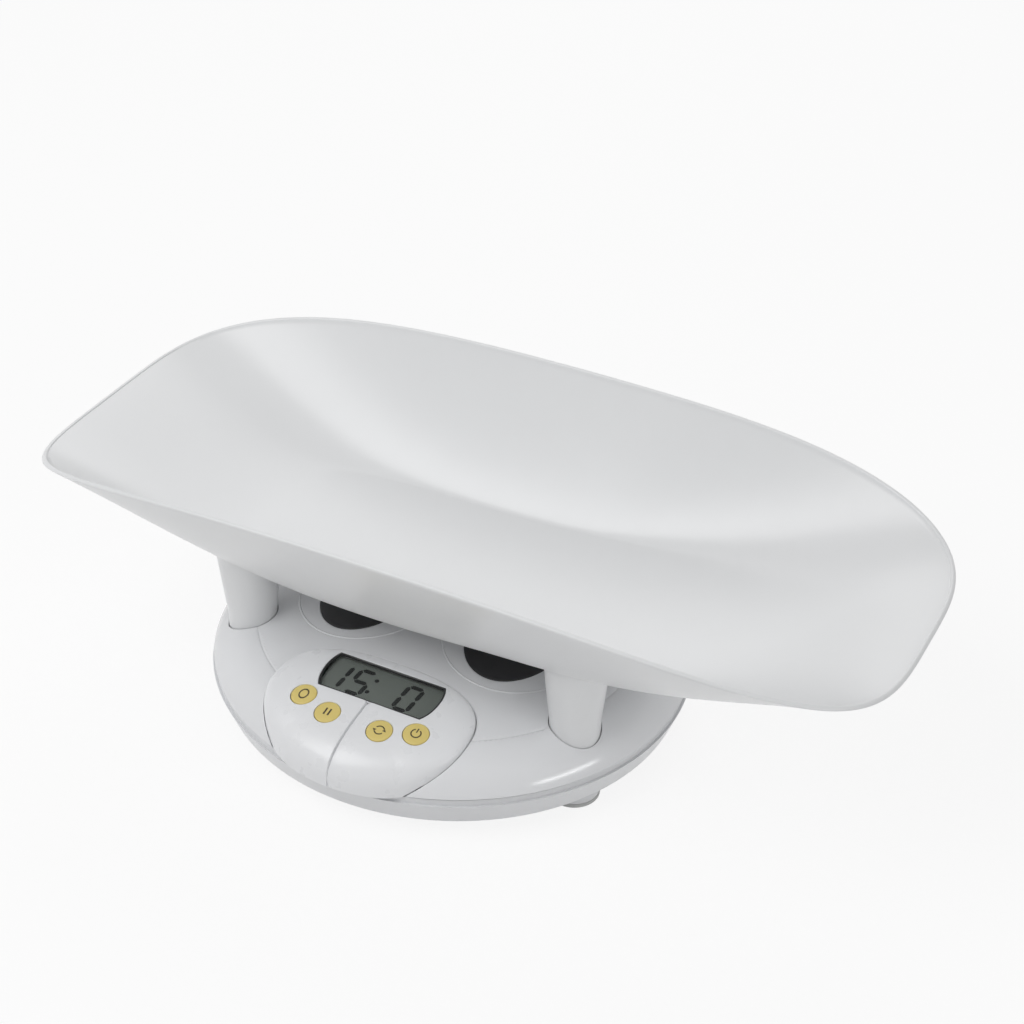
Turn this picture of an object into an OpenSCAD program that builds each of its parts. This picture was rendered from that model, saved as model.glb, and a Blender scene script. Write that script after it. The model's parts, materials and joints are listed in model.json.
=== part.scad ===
// Digital baby weighing scale: a long curved tray on four legs over a domed oval base
// with a raised control panel, a display, four buttons and two non-slip pads.
// Units are millimetres, Z is up, the panel faces -Y and the tray's foot end is at +X.
// The origin is on the table under the middle of the tray's length.

/* [Tray] */
// Length of the tray from its widest line to the foot end
foot_length = 234; // [180:1:300]
// Length of the tray from its widest line to the head end
head_length = 312.4; // [240:1:380]
// Half of the tray's greatest width
half_width = 121.9; // [90:0.1:150]
// Squareness of the foot end seen from above
foot_squareness = 3.7; // [2:0.1:6]
// Squareness of the head end seen from above
head_squareness = 4.65; // [2:0.1:6]
// Height of the rim at its highest part
rim_height = 171.6; // [140:0.1:220]
// Height of the tray's underside at its lowest part
floor_height = 89.1; // [60:0.1:120]
// Part of the way out at which the floor turns up into the wall
floor_break = 0.537; // [0.3:0.001:0.8]
// Thickness of the tray
tray_wall = 2.8; // [1.5:0.1:5]
// Number of steps round the tray
tray_steps = 72; // [24:4:96]

/* [Legs] */
// Distance of each leg from the base's middle along its length
leg_x = 111; // [80:0.5:125]
// Distance of each leg from the base's middle across its width
leg_y = 54; // [40:0.5:80]
// Radius of the straight lower part of a leg, which stands in its socket
peg_r = 15.2; // [8:0.1:20]
// Radius of a leg where it meets the tray
leg_top_r = 19.2; // [10:0.1:25]
// Height at which a leg starts to widen
taper_z = 54; // [40:0.5:70]
// Height of the seat on which a leg stands
seat_z = 38; // [30:0.5:45]
// Gap round a leg in its socket
socket_gap = 0.4; // [0.2:0.05:1]
// Gap left under a seated part
seat_gap = 0.1; // [0:0.05:0.5]

/* [Base] */
// Place of the base's middle along the tray's length
base_x = -22.5; // [-40:0.5:40]
// Half of the base's length
base_r = 150; // [120:0.5:200]
// Width of the base as a part of its length
base_oval = 0.957; // [0.8:0.001:1]
// Height of the middle of the domed cover
dome_z = 62.6; // [50:0.1:80]
// Radius of the dome
dome_r = 634; // [400:1:900]
// Distance from the base's edge in to the fine style line round the dome
crease_in = 29; // [20:0.5:45]
// Radius of the rounded shoulder outside the style line
shoulder_r = 34.8; // [20:0.1:60]
// Height of the cover's lower edge
cover_edge_z = 29.8; // [25:0.1:40]
// Thickness of the cover
cover_wall = 2.4; // [1.5:0.1:4]
// Height of the flat underside above the table
under_z = 10; // [6:0.5:16]
// Height of the top edge of the lower shell's outer wall
lower_top_z = 25.8; // [20:0.1:29]
// Thickness of the lower shell
lower_wall = 2.5; // [1.5:0.1:4]

/* [Pads] */
// Distance of each pad's middle from the base's middle
pad_x = 50.5; // [40:0.5:60]
// Place of the pads across the base
pad_y = -5; // [-20:0.5:20]
// Half length of a pad along the tray
pad_a = 30.5; // [20:0.5:40]
// Half length of a pad across the tray
pad_b = 46; // [30:0.5:50]
// Half length of the raised line round a pad, along the tray
ring_a = 47; // [35:0.5:49]
// Half length of the raised line round a pad, across the tray
ring_b = 54; // [40:0.5:60]
// Depth to which a pad is let into the cover
pad_depth = 1; // [0.5:0.1:1.5]

/* [Control panel] */
// Distance from the base's front edge back to the panel's middle
panel_in = 41.55; // [35:0.05:55]
// Half width of the panel
panel_a = 65.5; // [50:0.5:80]
// Reach of the panel from its middle to the back
panel_back = 37; // [25:0.5:50]
// Reach of the panel from its middle to the front
panel_front = 46.7; // [35:0.1:60]
// Height of the panel's face at its middle
panel_z = 57.2; // [50:0.1:70]
// Slope of the panel's face, in degrees
panel_tilt = 6; // [0:0.5:20]
// Fullness of the panel's rounded edge
panel_fullness = 3.2; // [2:0.1:5]
// Thickness of the panel
panel_wall = 2.2; // [1.5:0.1:4]
// Gap between the panel and the cover round it
panel_gap = 0.35; // [0.1:0.05:1]
// Height of the panel's lower edge at the front of the base
panel_foot_z = 28.4; // [26:0.1:32]

/* [Display] */
// Half width of the display opening
lens_a = 38.5; // [30:0.5:45]
// Depth of the display opening from back to front
lens_d = 29; // [20:0.5:35]
// Depth of the display window's face under the panel's face
lens_depth = 2; // [1:0.1:3]

/* [Buttons] */
// Radius of a button
button_r = 7.75; // [5:0.05:10]
// Gap round a button
button_gap = 0.3; // [0.15:0.05:0.6]
// Way a button moves when it is pressed
button_travel = 0.8; // [0.3:0.1:2]
// Distance of the outer buttons from the panel's middle line
outer_x = 37.7; // [30:0.1:50]
// Distance of the inner buttons from the panel's middle line
inner_x = 17.4; // [10:0.1:25]

/* [Battery box] */
// Inner length of the box along a battery
cell_room = 57; // [52:0.5:65]
// Battery diameter
cell_d = 14.2; // [10:0.1:18]
// Battery length
cell_l = 50.2; // [44:0.1:60]
// Gap round the battery door
door_gap = 0.35; // [0.2:0.05:1]
// Middle of the battery box across the base
bay_y = 18; // [-20:0.5:40]

/* [Screws] */
// Radius of a case screw's thread
screw_r = 1.45; // [1:0.05:2.5]
// Gap between a screw and the hole that it passes through
screw_gap = 0.2; // [0.1:0.05:0.5]

/* [Hidden] */
round_n = 64;
dome_n = 200;
half_length = (foot_length + head_length) / 2;
tray_mid_x = (head_length - foot_length) / 2;
floor_mid_x = tray_mid_x - 41.5;
socket_r = peg_r + socket_gap;
crease_r = base_r - crease_in;
panel_y = panel_in - base_oval * base_r;
shoulder_x = crease_r - 3;
shoulder_z = dome_height(crease_r, 0) - sqrt(pow(shoulder_r, 2) - pow(crease_r - shoulder_x, 2));
outline_n = 64;
white = [0.94, 0.95, 0.95];
grey = [0.72, 0.73, 0.74];
dark = [0.13, 0.13, 0.14];
gold = [0.87, 0.78, 0.43];
steel = [0.75, 0.76, 0.78];

// ---- surfaces -------------------------------------------------------------------------

// Height of the dome at a distance from its middle, t under its skin
function dome_height(r, t) = dome_z - dome_r + sqrt(pow(dome_r - t, 2) - r * r);

// Radius of the shoulder's arc, t under its skin, so that it meets the dome at the line
function shoulder_in(t) = norm([crease_r - shoulder_x, dome_height(crease_r, t) - shoulder_z]);

// Height of the cover at a place measured from the base's middle
function cover_height(x, y, t = 0) =
    let (r = norm([x, y / base_oval]))
    r < crease_r ? dome_height(r, t)
        : shoulder_z + sqrt(max(0, pow(shoulder_in(t), 2) - pow(r - shoulder_x, 2)));

// A point of the tray's rim in the direction a, moved in by the amount inset
function tray_u(x) = (x - tray_mid_x) / half_length;
function rim_at(a, inset) =
    let (c = cos(a), s = sin(a), n = c > 0 ? foot_squareness : head_squareness)
    let (k = pow(pow(abs(c), n) + pow(abs(s), n), -1 / n))
    let (x = tray_mid_x + ((c > 0 ? foot_length : head_length) - inset) * k * c, u = tray_u(x))
    [x, (half_width - inset) * (1 - 0.008 * u - 0.015 * u * u) * k * s];

// The rim dips to both ends
function rim_z(x) =
    let (u = tray_u(x))
    rim_height - 4.2 * u - 14.6 * u * u - 8.6 * pow(u, 3) - 19.1 * pow(u, 4);

// The floor is a shallow trough that rises to both ends
function floor_z(x) = let (d = x - floor_mid_x) floor_height + 0.0388 * d + 0.000495 * d * d;

// How late the wall turns up: soon along the sides and at the head, late at the foot
function bend(a) =
    let (side = pow(sin(a), 2))
    1.29 * side + (cos(a) > 0 ? 3.44 : 1.68) * (1 - side);

// A point of the tray, s of the way out from the floor's middle to the rim
function tray_point(a, s, inset, lift) =
    let (r = rim_at(a, inset), x = floor_mid_x + s * (r[0] - floor_mid_x), f = floor_z(x) + lift)
    let (h = pow(max(0, (s - floor_break) / (1 - floor_break)), bend(a)))
    [x, s * r[1], f + (rim_z(r[0]) - f) * h];
function tray_ring(s, inset, lift) =
    [for (i = [0 : tray_steps - 1]) tray_point(360 * i / tray_steps, s, inset, lift)];

// Outline of the panel seen from above, moved out by the amount g
function panel_edge(a, g) =
    let (c = cos(a), s = sin(a), e = s > 0 ? 2.7 : 2, b = s > 0 ? panel_back : panel_front)
    let (k = pow(pow(abs(c), e) + pow(abs(s), e), -1 / e))
    [(panel_a + g) * k * c, panel_y + (b + g) * k * s];
function panel_outline(g) = [for (i = [0 : outline_n - 1]) panel_edge(360 * i / outline_n, g)];

// Height of the panel's edge: on the cover, or at the lower edge beyond the cover
function edge_height(a) =
    let (p = panel_edge(a, 0), r = norm([p[0], p[1] / base_oval]))
    r > base_r ? panel_foot_z : max(panel_foot_z, cover_height(p[0], p[1]));

// A point of the panel's skin, s of the way out, t under the skin
function panel_point(a, s, t) =
    let (p = panel_edge(a, -t), x = s * p[0], y = panel_y + s * (p[1] - panel_y), e = edge_height(a))
    let (top = panel_z - t + tan(panel_tilt) * (y - panel_y))
    [x, y, e + (top - e) * pow(max(0, 1 - pow(s, panel_fullness)), 1 / panel_fullness)];
function panel_ring(s, t) = [for (i = [0 : outline_n - 1]) panel_point(360 * i / outline_n, s, t)];

// How far a place on the panel's edge is from the base's middle, in the base's length
function edge_reach(a, t) = let (p = panel_edge(a, -t)) norm([p[0], p[1] / base_oval]);
function share(x) = min(1, max(0, x));

// Lower ring of the panel: inside the cover a skirt, in front of the base a turned-in lip
lip_turn = 2.6;
skirt_from = base_r - 4;
function skirt_point(a, t) =
    let (p = panel_edge(a, -t), r = edge_reach(a, 0), turn = lip_turn * share((r - base_r) / 4))
    [p[0], p[1] + turn, r < skirt_from ? edge_height(a) - 0.4 - 11 * share((skirt_from - r) / 10)
        : r < base_r ? max(cover_edge_z + 0.1, edge_height(a) - 0.4) : panel_foot_z + t];
function skirt_ring(t) = [for (i = [0 : outline_n - 1]) skirt_point(360 * i / outline_n, t)];

// A closed solid through rings of the same number of points, ended by a point at each end
module ring_solid(rings, first, last) {
    n = len(rings[0]);
    m = len(rings);
    sides = [for (j = [0 : m - 2], i = [0 : n - 1]) let (k = (i + 1) % n, a = j * n, b = a + n)
        each [[a + i, b + i, b + k], [a + i, b + k, a + k]]];
    start = [for (i = [0 : n - 1]) [m * n, i, (i + 1) % n]];
    end = [for (i = [0 : n - 1]) [m * n + 1, (m - 1) * n + (i + 1) % n, (m - 1) * n + i]];
    polyhedron(concat([for (r = rings) each r], [first, last]), concat(sides, start, end));
}

// A round lead through the points of a path
module lead(path, r) {
    n = 6;
    m = len(path);
    dirs = [for (i = [0 : m - 1]) let (d = path[min(i + 1, m - 1)] - path[max(i - 1, 0)]) d / norm(d)];
    rings = [for (i = [0 : m - 1])
        let (d = dirs[i], w = abs(d[2]) > 0.9 ? [1, 0, 0] : [0, 0, 1])
        let (c = cross(w, d), p = c / norm(c), q = cross(d, p))
        [for (k = [0 : n - 1]) path[i] + r * (cos(360 * k / n) * p + sin(360 * k / n) * q)]];
    ring_solid(rings, path[0], path[m - 1]);
}

// A path through points with its corners rounded
function soft(points, cut = 8) =
    let (m = len(points))
    [points[0],
        for (i = [1 : m - 2])
            let (p = points[i], a = points[i - 1] - p, b = points[i + 1] - p)
            let (u = p + a / norm(a) * min(cut, norm(a) / 2.2))
            let (v = p + b / norm(b) * min(cut, norm(b) / 2.2))
            each [for (t = [0 : 0.25 : 1]) (1 - t) * (1 - t) * u + 2 * t * (1 - t) * p + t * t * v],
        points[m - 1]];

// ---- placing --------------------------------------------------------------------------

module at_base() translate([base_x, 0, 0]) children();
module in_panel() at_base() translate([0, panel_y, panel_z]) rotate([panel_tilt, 0, 0]) children();
module at_corners(x, y) for (i = [-1, 1], j = [-1, 1]) translate([i * x, j * y, 0]) children();

// ---- tray -----------------------------------------------------------------------------

wall_levels = [0.6, 0.67, 0.74, 0.81, 0.87, 0.92, 0.96, 0.985];
tray_levels = concat([0.2, 0.4, floor_break], wall_levels, [1]);

// The curved shell with its rounded rim
module tray_shell() {
    count = len(tray_levels);
    crown = [for (p = tray_ring(1, tray_wall / 2, 0)) p + [0, 0, 0.9]];
    middle = [floor_mid_x, 0, floor_height];
    ring_solid(
        concat([for (s = tray_levels) tray_ring(s, 0, 0)], [crown],
            [for (i = [count - 1 : -1 : 0]) tray_ring(tray_levels[i], tray_wall, tray_wall)]),
        middle, middle + [0, 0, tray_wall]);
}

// Everything under the middle of the shell's thickness, which ends the legs inside the wall
module under_tray() {
    levels = [0.3, floor_break, 0.6, 0.67, 0.74];
    bottom = seat_z - 2;
    low = [for (p = tray_ring(0.74, tray_wall / 2, 0)) [p[0], p[1], bottom]];
    ring_solid(
        concat([low], [for (i = [4 : -1 : 0]) tray_ring(levels[i], tray_wall / 2, tray_wall / 2)]),
        [floor_mid_x, 0, bottom], [floor_mid_x, 0, floor_height + tray_wall / 2]);
}

// A hollow leg: a straight peg below and a widening cone above, which reaches into the wall
cone_h = floor_height + 15 - taper_z;
module leg() {
    difference() {
        union() {
            translate([0, 0, seat_z + seat_gap]) cylinder(r = peg_r, h = taper_z - seat_z, $fn = round_n);
            translate([0, 0, taper_z]) cylinder(r1 = peg_r, r2 = leg_top_r + 1, h = cone_h, $fn = round_n);
        }
        translate([0, 0, seat_z - 1])
            cylinder(r = peg_r - tray_wall, h = floor_height - seat_z - 1, $fn = round_n);
    }
}

module tray() {
    color(white) {
        tray_shell();
        intersection() {
            at_base() at_corners(leg_x, leg_y) leg();
            under_tray();
        }
    }
}

// ---- base cover -----------------------------------------------------------------------

// Ball whose top is the dome, t under its skin
module ball(t) translate([0, 0, dome_z - dome_r]) sphere(r = dome_r - t, $fn = dome_n);

// Ring of the dome or of its shoulder, t under the skin: part of the way to the line or to the edge
cover_steps = 64;
dome_rings = 4;
shoulder_rings = 6;
function oval_ring(r, z) =
    [for (i = [0 : cover_steps - 1])
        let (a = 360 * i / cover_steps) [r * cos(a), base_oval * r * sin(a), z]];
function dome_ring(i, t) = let (r = crease_r * i / dome_rings) oval_ring(r, dome_height(r, t));
function shoulder_turn(part, t) =
    let (first = atan2(crease_r - shoulder_x, dome_height(crease_r, t) - shoulder_z))
    first + part * (acos((cover_edge_z - shoulder_z) / shoulder_in(t)) - first);
function shoulder_ring(i, t) =
    let (a = shoulder_turn(i / shoulder_rings, t))
    oval_ring(min(base_r, shoulder_x + shoulder_in(t) * sin(a)), shoulder_z + shoulder_in(t) * cos(a));
function cover_rings(t) = concat([for (i = [1 : dome_rings]) dome_ring(i, t)],
    [for (i = [1 : shoulder_rings]) shoulder_ring(i, t)]);
function turned(list) = [for (i = [len(list) - 1 : -1 : 0]) list[i]];

// Everything under the cover's skin, t under it, down to a height
module cover_volume(t, low) {
    skin = cover_rings(t);
    edge = skin[len(skin) - 1];
    ring_solid(concat([[for (p = edge) [p[0], p[1], low]]], turned(skin)), [0, 0, low], [0, 0, dome_z - t]);
}
module cover_shell() {
    ring_solid(concat(cover_rings(cover_wall), turned(cover_rings(0))),
        [0, 0, dome_z - cover_wall], [0, 0, dome_z]);
}

// An upright elliptic block over a pad's place
pad_low = dome_z - 12;
module pad_block(a, b, side) {
    translate([side * pad_x, pad_y, pad_low]) scale([1, b / a, 1]) cylinder(r = a, h = dome_z, $fn = dome_n);
}
// Fine raised line round a pad that follows the dome
line_w = 1.2;
line_h = 0.5;
module pad_line(side) {
    intersection() {
        difference() {
            pad_block(ring_a, ring_b, side);
            translate([0, 0, -1]) pad_block(ring_a - line_w, ring_b - line_w, side);
            ball(cover_wall / 2);
        }
        ball(-line_h);
    }
}

// Places of the case screws, inside the lower shell's wall, and the height of the joint between bosses
screw_places = [[88, 96], [88, -96], [-88, 96], [-88, -96], [134, 0], [-134, 0]];
boss_z = 24;
boss_r = 4;
// Places of the panel's fixing ears, the height of their tops and their reach to the panel
ears = [[-44, -63, 50, 0], [44, -63, 50, 0], [-70, -100, 42, 1], [70, -100, 42, -1]];
ear_t = 2;
ear_r = 4.4;
pilot_l = 7;
small_r = 1.05;

module cover_bosses() {
    intersection() {
        union() {
            at_corners(leg_x, leg_y)
                translate([0, 0, seat_z - 2.5]) cylinder(r = socket_r + 2.2, h = 30, $fn = round_n);
            for (p = screw_places)
                translate([p[0], p[1], boss_z + seat_gap]) cylinder(r = boss_r, h = 40, $fn = round_n);
            for (p = ears)
                translate([p[0], p[1], p[2] + seat_gap]) cylinder(r = 3, h = 30, $fn = round_n);
        }
        cover_volume(cover_wall / 2, under_z);
    }
}

module top_cover() {
    color(white) at_base() difference() {
        union() {
            cover_shell();
            cover_bosses();
            pad_line(-1);
            pad_line(1);
        }
        at_corners(leg_x, leg_y) {
            translate([0, 0, seat_z]) cylinder(r = socket_r, h = 40, $fn = round_n);
            translate([0, 0, seat_z - 5]) cylinder(r = 8, h = 10, $fn = round_n);
        }
        for (p = screw_places)
            translate([p[0], p[1], boss_z - 1]) cylinder(r = screw_r + 0.05, h = 13, $fn = round_n);
        for (p = ears)
            translate([p[0], p[1], p[2] - 1]) cylinder(r = small_r + 0.05, h = pilot_l, $fn = round_n);
        for (side = [-1, 1]) difference() {
            pad_block(pad_a + 0.2, pad_b + 0.2, side);
            ball(pad_depth);
        }
        translate([0, 0, under_z]) linear_extrude(dome_z) polygon(panel_outline(panel_gap));
    }
}

// A rubber pad let into the dome
module pad(side) {
    color(dark) at_base() difference() {
        intersection() {
            pad_block(pad_a, pad_b, side);
            ball(-0.4);
        }
        ball(pad_depth - seat_gap);
    }
}
module left_pad() pad(-1);
module right_pad() pad(1);

// ---- control panel --------------------------------------------------------------------

// Buttons: place along the panel, place up it, depth of the top, lean of the top to the side
keys = [[-outer_x, -9.3, -0.6, -3.6], [-inner_x, -16.1, -0.45, -1.2],
    [inner_x, -16.1, -0.45, 1.2], [outer_x, -9.3, -0.6, 3.6]];
key_lean = 4.5;
flange_w = -4.3;
flange_t = 1;
flange_r = button_r + 1.1;
board_w = -11.6;
board_t = 1.6;
board_top = board_w + board_t;
switch_s = 6.2;
switch_h = 3.6;
plunger_r = 1.6;
board_screws_at = [[-43.6, 9], [43.6, 9], [0, -19.5]];
lens_v = 15.5;
lens_flange_w = -2.9;
lens_flange = 0.8;

// Half width of the display opening at a height v from its middle, widened by g
function lens_half(v, g) = lens_a + g - 3.6 * pow(abs(v) / (lens_d / 2 + g), 2.4) + 0.05 * v;
function lens_points(g) =
    let (h = lens_d / 2 + g, rows = [for (i = [0 : 12]) -h + h * i / 6])
    concat([for (v = rows) [lens_half(v, g), v]],
        [for (i = [12 : -1 : 0]) [-lens_half(rows[i], g), rows[i]]]);
module lens_block(g, w, h) {
    translate([0, lens_v, w]) linear_extrude(h) polygon(lens_points(g));
}

// The domed shell of the panel with its skirt
module panel_shell() {
    levels = [0.25, 0.45, 0.6, 0.72, 0.82, 0.89, 0.94, 0.975, 0.993];
    inner = [for (s = levels) panel_ring(s, panel_wall)];
    middle = [0, panel_y, panel_z];
    ring_solid(
        concat(inner, [skirt_ring(panel_wall), skirt_ring(0)],
            [for (i = [len(levels) - 1 : -1 : 0]) panel_ring(levels[i], 0)]),
        middle - [0, 0, panel_wall], middle);
}

// A flat ear under the cover with its arm to the skirt
module ear(p) {
    translate([p[0], p[1], p[2] - ear_t]) {
        cylinder(r = ear_r, h = ear_t, $fn = round_n);
        if (p[3] == 0) translate([-ear_r + 0.2, -8.5, 0]) cube([2 * ear_r - 0.4, 8.5, ear_t]);
        if (p[3] != 0) translate([p[3] > 0 ? 0 : -8, -ear_r + 0.2, 0]) cube([8, 2 * ear_r - 0.4, ear_t]);
    }
}

module control_panel() {
    color(white) difference() {
        union() {
            at_base() panel_shell();
            at_base() for (p = ears) ear(p);
            in_panel() for (p = board_screws_at)
                translate([p[0], p[1], board_top + seat_gap])
                    cylinder(r = 2.4, h = -1.6 - board_top - seat_gap, $fn = round_n);
        }
        at_base() for (p = ears)
            translate([p[0], p[1], p[2] - ear_t - 1])
                cylinder(r = small_r + screw_gap, h = ear_t + 2, $fn = round_n);
        in_panel() {
            lens_block(0, -6, 12);
            for (k = keys)
                translate([k[0], k[1], -7]) cylinder(r = button_r + button_gap, h = 12, $fn = round_n);
            for (p = board_screws_at)
                translate([p[0], p[1], board_top - 1]) cylinder(r = small_r + 0.05, h = 6.5, $fn = round_n);
        }
    }
}

// Clear window: a flange under the panel and a raised face inside the opening
module display_window() {
    color([0.8, 0.85, 0.85, 0.4]) in_panel() {
        lens_block(lens_flange, lens_flange_w - 0.9, 0.9);
        lens_block(-0.25, lens_flange_w - 0.4, 0.4 - lens_flange_w - lens_depth);
    }
}

lcd_top = lens_flange_w - 0.9 - seat_gap;
lcd_t = 2.7;
lcd_a = 37.5;
lcd_b = 14.6;
module lcd_glass() {
    color([0.4, 0.43, 0.41]) in_panel()
        translate([-lcd_a, lens_v - lcd_b, lcd_top - lcd_t]) cube([2 * lcd_a, 2 * lcd_b, lcd_t]);
}

// Rubber strips that join the glass and the circuit board
module contact_strips() {
    h = lcd_top - lcd_t - board_top - 2 * seat_gap;
    color([0.9, 0.5, 0.6]) in_panel() for (side = [-1, 1])
        translate([-34, lens_v + side * (lcd_b - 2.2) - 1.2, board_top + seat_gap]) cube([68, 2.4, h]);
}

// Board with a chip and the socket for the leads under it. Its corners follow the panel's outline
board_a = 46;
board_outline = [[-40, -23.5], [40, -23.5], [board_a, -14], [board_a, 18], [36, 29.5],
    [-36, 29.5], [-board_a, 18], [-board_a, -14]];
module circuit_board() {
    color([0.15, 0.4, 0.25]) in_panel() difference() {
        union() {
            translate([0, 0, board_w]) linear_extrude(board_t) polygon(board_outline);
            translate([-10, 9.5, board_w - 5]) cube([20, 5, 5.2]);
            translate([-32, 2, board_w - 1.5]) cube([12, 12, 1.7]);
        }
        for (p = board_screws_at)
            translate([p[0], p[1], board_w - 1]) cylinder(r = small_r + screw_gap, h = 4, $fn = round_n);
    }
}

// A small screw that stands on its head
module small_screw(l) {
    translate([0, 0, -1.4]) cylinder(r = 2.1, h = 1.4, $fn = round_n);
    cylinder(r = small_r, h = l, $fn = round_n);
}
module board_screws() {
    color(steel) in_panel() for (p = board_screws_at)
        translate([p[0], p[1], board_w - seat_gap]) small_screw(6.5);
}
module panel_screws() {
    color(steel) at_base() for (p = ears)
        translate([p[0], p[1], p[2] - ear_t - seat_gap]) small_screw(ear_t + 5.5);
}

// Housings of the four switches, each with a well for its plunger
well_l = 2.2;
module key_switches() {
    color(dark) in_panel() for (k = keys) translate([k[0], k[1], board_top + seat_gap]) difference() {
        translate([-switch_s / 2, -switch_s / 2, 0]) cube([switch_s, switch_s, switch_h]);
        translate([0, 0, switch_h - well_l]) cylinder(r = plunger_r + 0.3, h = well_l + 1, $fn = round_n);
    }
}

// A button: a round cap whose top follows the panel, over a wider flange that holds it in
module button(k) {
    color(gold) in_panel() translate([k[0], k[1], 0]) {
        intersection() {
            translate([0, 0, flange_w - 0.5]) cylinder(r = button_r, h = 8, $fn = round_n);
            translate([0, 0, k[2]]) rotate([key_lean, k[3], 0]) translate([-15, -15, -12]) cube([30, 30, 12]);
        }
        translate([0, 0, flange_w - flange_t]) cylinder(r = flange_r, h = flange_t, $fn = round_n);
    }
}

// The plunger of a switch, from under its button down into the well
plunger_l = flange_w - flange_t - seat_gap - (board_top + seat_gap + switch_h - well_l + button_travel + 0.3);
module plunger(k) {
    color(grey) in_panel() translate([k[0], k[1], flange_w - flange_t - seat_gap - plunger_l])
        cylinder(r = plunger_r, h = plunger_l, $fn = round_n);
}
module zero_button() button(keys[0]);
module hold_button() button(keys[1]);
module unit_button() button(keys[2]);
module power_button() button(keys[3]);
module zero_plunger() plunger(keys[0]);
module hold_plunger() plunger(keys[1]);
module unit_plunger() plunger(keys[2]);
module power_plunger() plunger(keys[3]);

// ---- lower shell ----------------------------------------------------------------------

foot_x = 112.5;
foot_y = 56;
stud_r = 5.5;
stud_gap = 0.8;
pitch = cell_d + 0.3;
bay_w = 4 * pitch + 2;
bay_0 = bay_y - cell_room / 2;
cell_z = 20.1;
bay_top = cell_z + cell_d / 2 + 0.5;
bay_wall = 2;
hinge_r = 1.8;
hinge_y = bay_0 + 2.1;
hinge_z = under_z + hinge_r + 0.1;
pin_r = 1;
knuckle_l = 3.6;
door_t = 2.2;
head_z = 16;
head_r = 3;
lead_hole_z = 25.5;

// At each foot, turned so that X points away from the base's middle
module at_feet() {
    for (i = [-1, 1], j = [-1, 1])
        translate([i * foot_x, j * foot_y, 0]) rotate([0, 0, atan2(j * foot_y, i * foot_x)]) children();
}

// Inner radius of the wall's ring, which stands on the floor's plate, and the plate's radius
ring_r = base_r - 12;
floor_r = ring_r + 3.5;
tongue_z = cover_edge_z + 3.2;

// The wall with its recessed band and the tongue that stands inside the cover's edge
module lower_wall_ring() {
    scale([1, base_oval, 1]) rotate_extrude($fn = dome_n) polygon([
        [ring_r, under_z], [base_r - 5.5, under_z], [base_r + 0.5, lower_top_z], [base_r - 1.1, lower_top_z],
        [base_r - 1.4, cover_edge_z - 0.3], [base_r - 3.2, cover_edge_z - 0.3],
        [base_r - 4.8, tongue_z], [base_r - 6.6, tongue_z],
        [base_r - 5, lower_top_z + 1.2], [base_r - 8, under_z + lower_wall], [ring_r, under_z + lower_wall]]);
}
module lower_cover() {
    color(white) at_base() difference() {
        union() {
            lower_wall_ring();
            translate([0, 0, under_z + 0.05]) linear_extrude(lower_wall - 0.1)
                polygon([for (i = [0 : 95]) floor_r * [cos(i * 3.75), base_oval * sin(i * 3.75)]]);
            for (p = screw_places)
                translate([p[0], p[1], under_z + 1])
                    cylinder(r = boss_r + 0.6, h = boss_z - under_z - 1, $fn = round_n);
            translate([-bay_w / 2 - bay_wall, bay_0 - bay_wall, under_z + 1])
                cube([bay_w + 2 * bay_wall, cell_room + 2 * bay_wall, bay_top + bay_wall - under_z - 1]);
        }
        translate([-bay_w / 2, bay_0, under_z - 1]) cube([bay_w, cell_room, bay_top - under_z + 1]);
        translate([-bay_w / 2 - bay_wall - 0.2, hinge_y, hinge_z]) rotate([0, 90, 0])
            cylinder(r = pin_r + 0.2, h = bay_w + 2 * bay_wall + 0.4, $fn = round_n);
        translate([0, bay_0 + cell_room + 5, under_z - 1]) cylinder(r = 9, h = 2.2, $fn = round_n);
        for (p = screw_places) translate([p[0], p[1], 0]) {
            translate([0, 0, under_z - 1])
                cylinder(r = head_r + 0.3, h = head_z - under_z + 1, $fn = round_n);
            cylinder(r = screw_r + screw_gap, h = boss_z + 1, $fn = round_n);
        }
        at_feet() translate([0, 0, under_z - 1])
            cylinder(r = stud_r + stud_gap, h = lower_wall + 2, $fn = round_n);
        for (x = [-1.5 * pitch, 1.5 * pitch])
            translate([x, bay_0 + 0.2, lead_hole_z]) rotate([90, 0, 0])
                cylinder(r = 1.3, h = bay_wall + 1, $fn = round_n);
    }
}

module case_screws() {
    color(steel) at_base() for (p = screw_places) translate([p[0], p[1], head_z - seat_gap]) {
        translate([0, 0, -2.6]) cylinder(r = head_r, h = 2.6, $fn = round_n);
        cylinder(r = screw_r, h = 18, $fn = round_n);
    }
}

// Lid of the battery box, with two hinge knuckles and pins, and a latch arm
module battery_door() {
    w = bay_w - 2 * door_gap;
    back = bay_0 + cell_room - door_gap;
    latch_w = 9;
    color(white) at_base() {
        difference() {
            union() {
                translate([-w / 2, hinge_y, under_z]) cube([w, back - hinge_y, door_t]);
                translate([-latch_w / 2, back - 1.6, under_z + 0.5])
                    cube([latch_w, 1.6, cell_z - cell_d / 2 - 0.7 - under_z]);
            }
            for (side = [-1, 1]) translate([side * (latch_w / 2 + 1) - 0.5, back - 12, under_z - 1])
                cube([1, 12 + 1, door_t + 2]);
        }
        for (side = [-1, 1]) {
            translate([side > 0 ? w / 2 - knuckle_l : -w / 2, hinge_y, hinge_z]) rotate([0, 90, 0])
                cylinder(r = hinge_r, h = knuckle_l, $fn = round_n);
            translate([side > 0 ? w / 2 - 1 : -w / 2 - bay_wall + 0.6, hinge_y, hinge_z]) rotate([0, 90, 0])
                cylinder(r = pin_r, h = bay_wall + 0.4, $fn = round_n);
        }
    }
}

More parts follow.
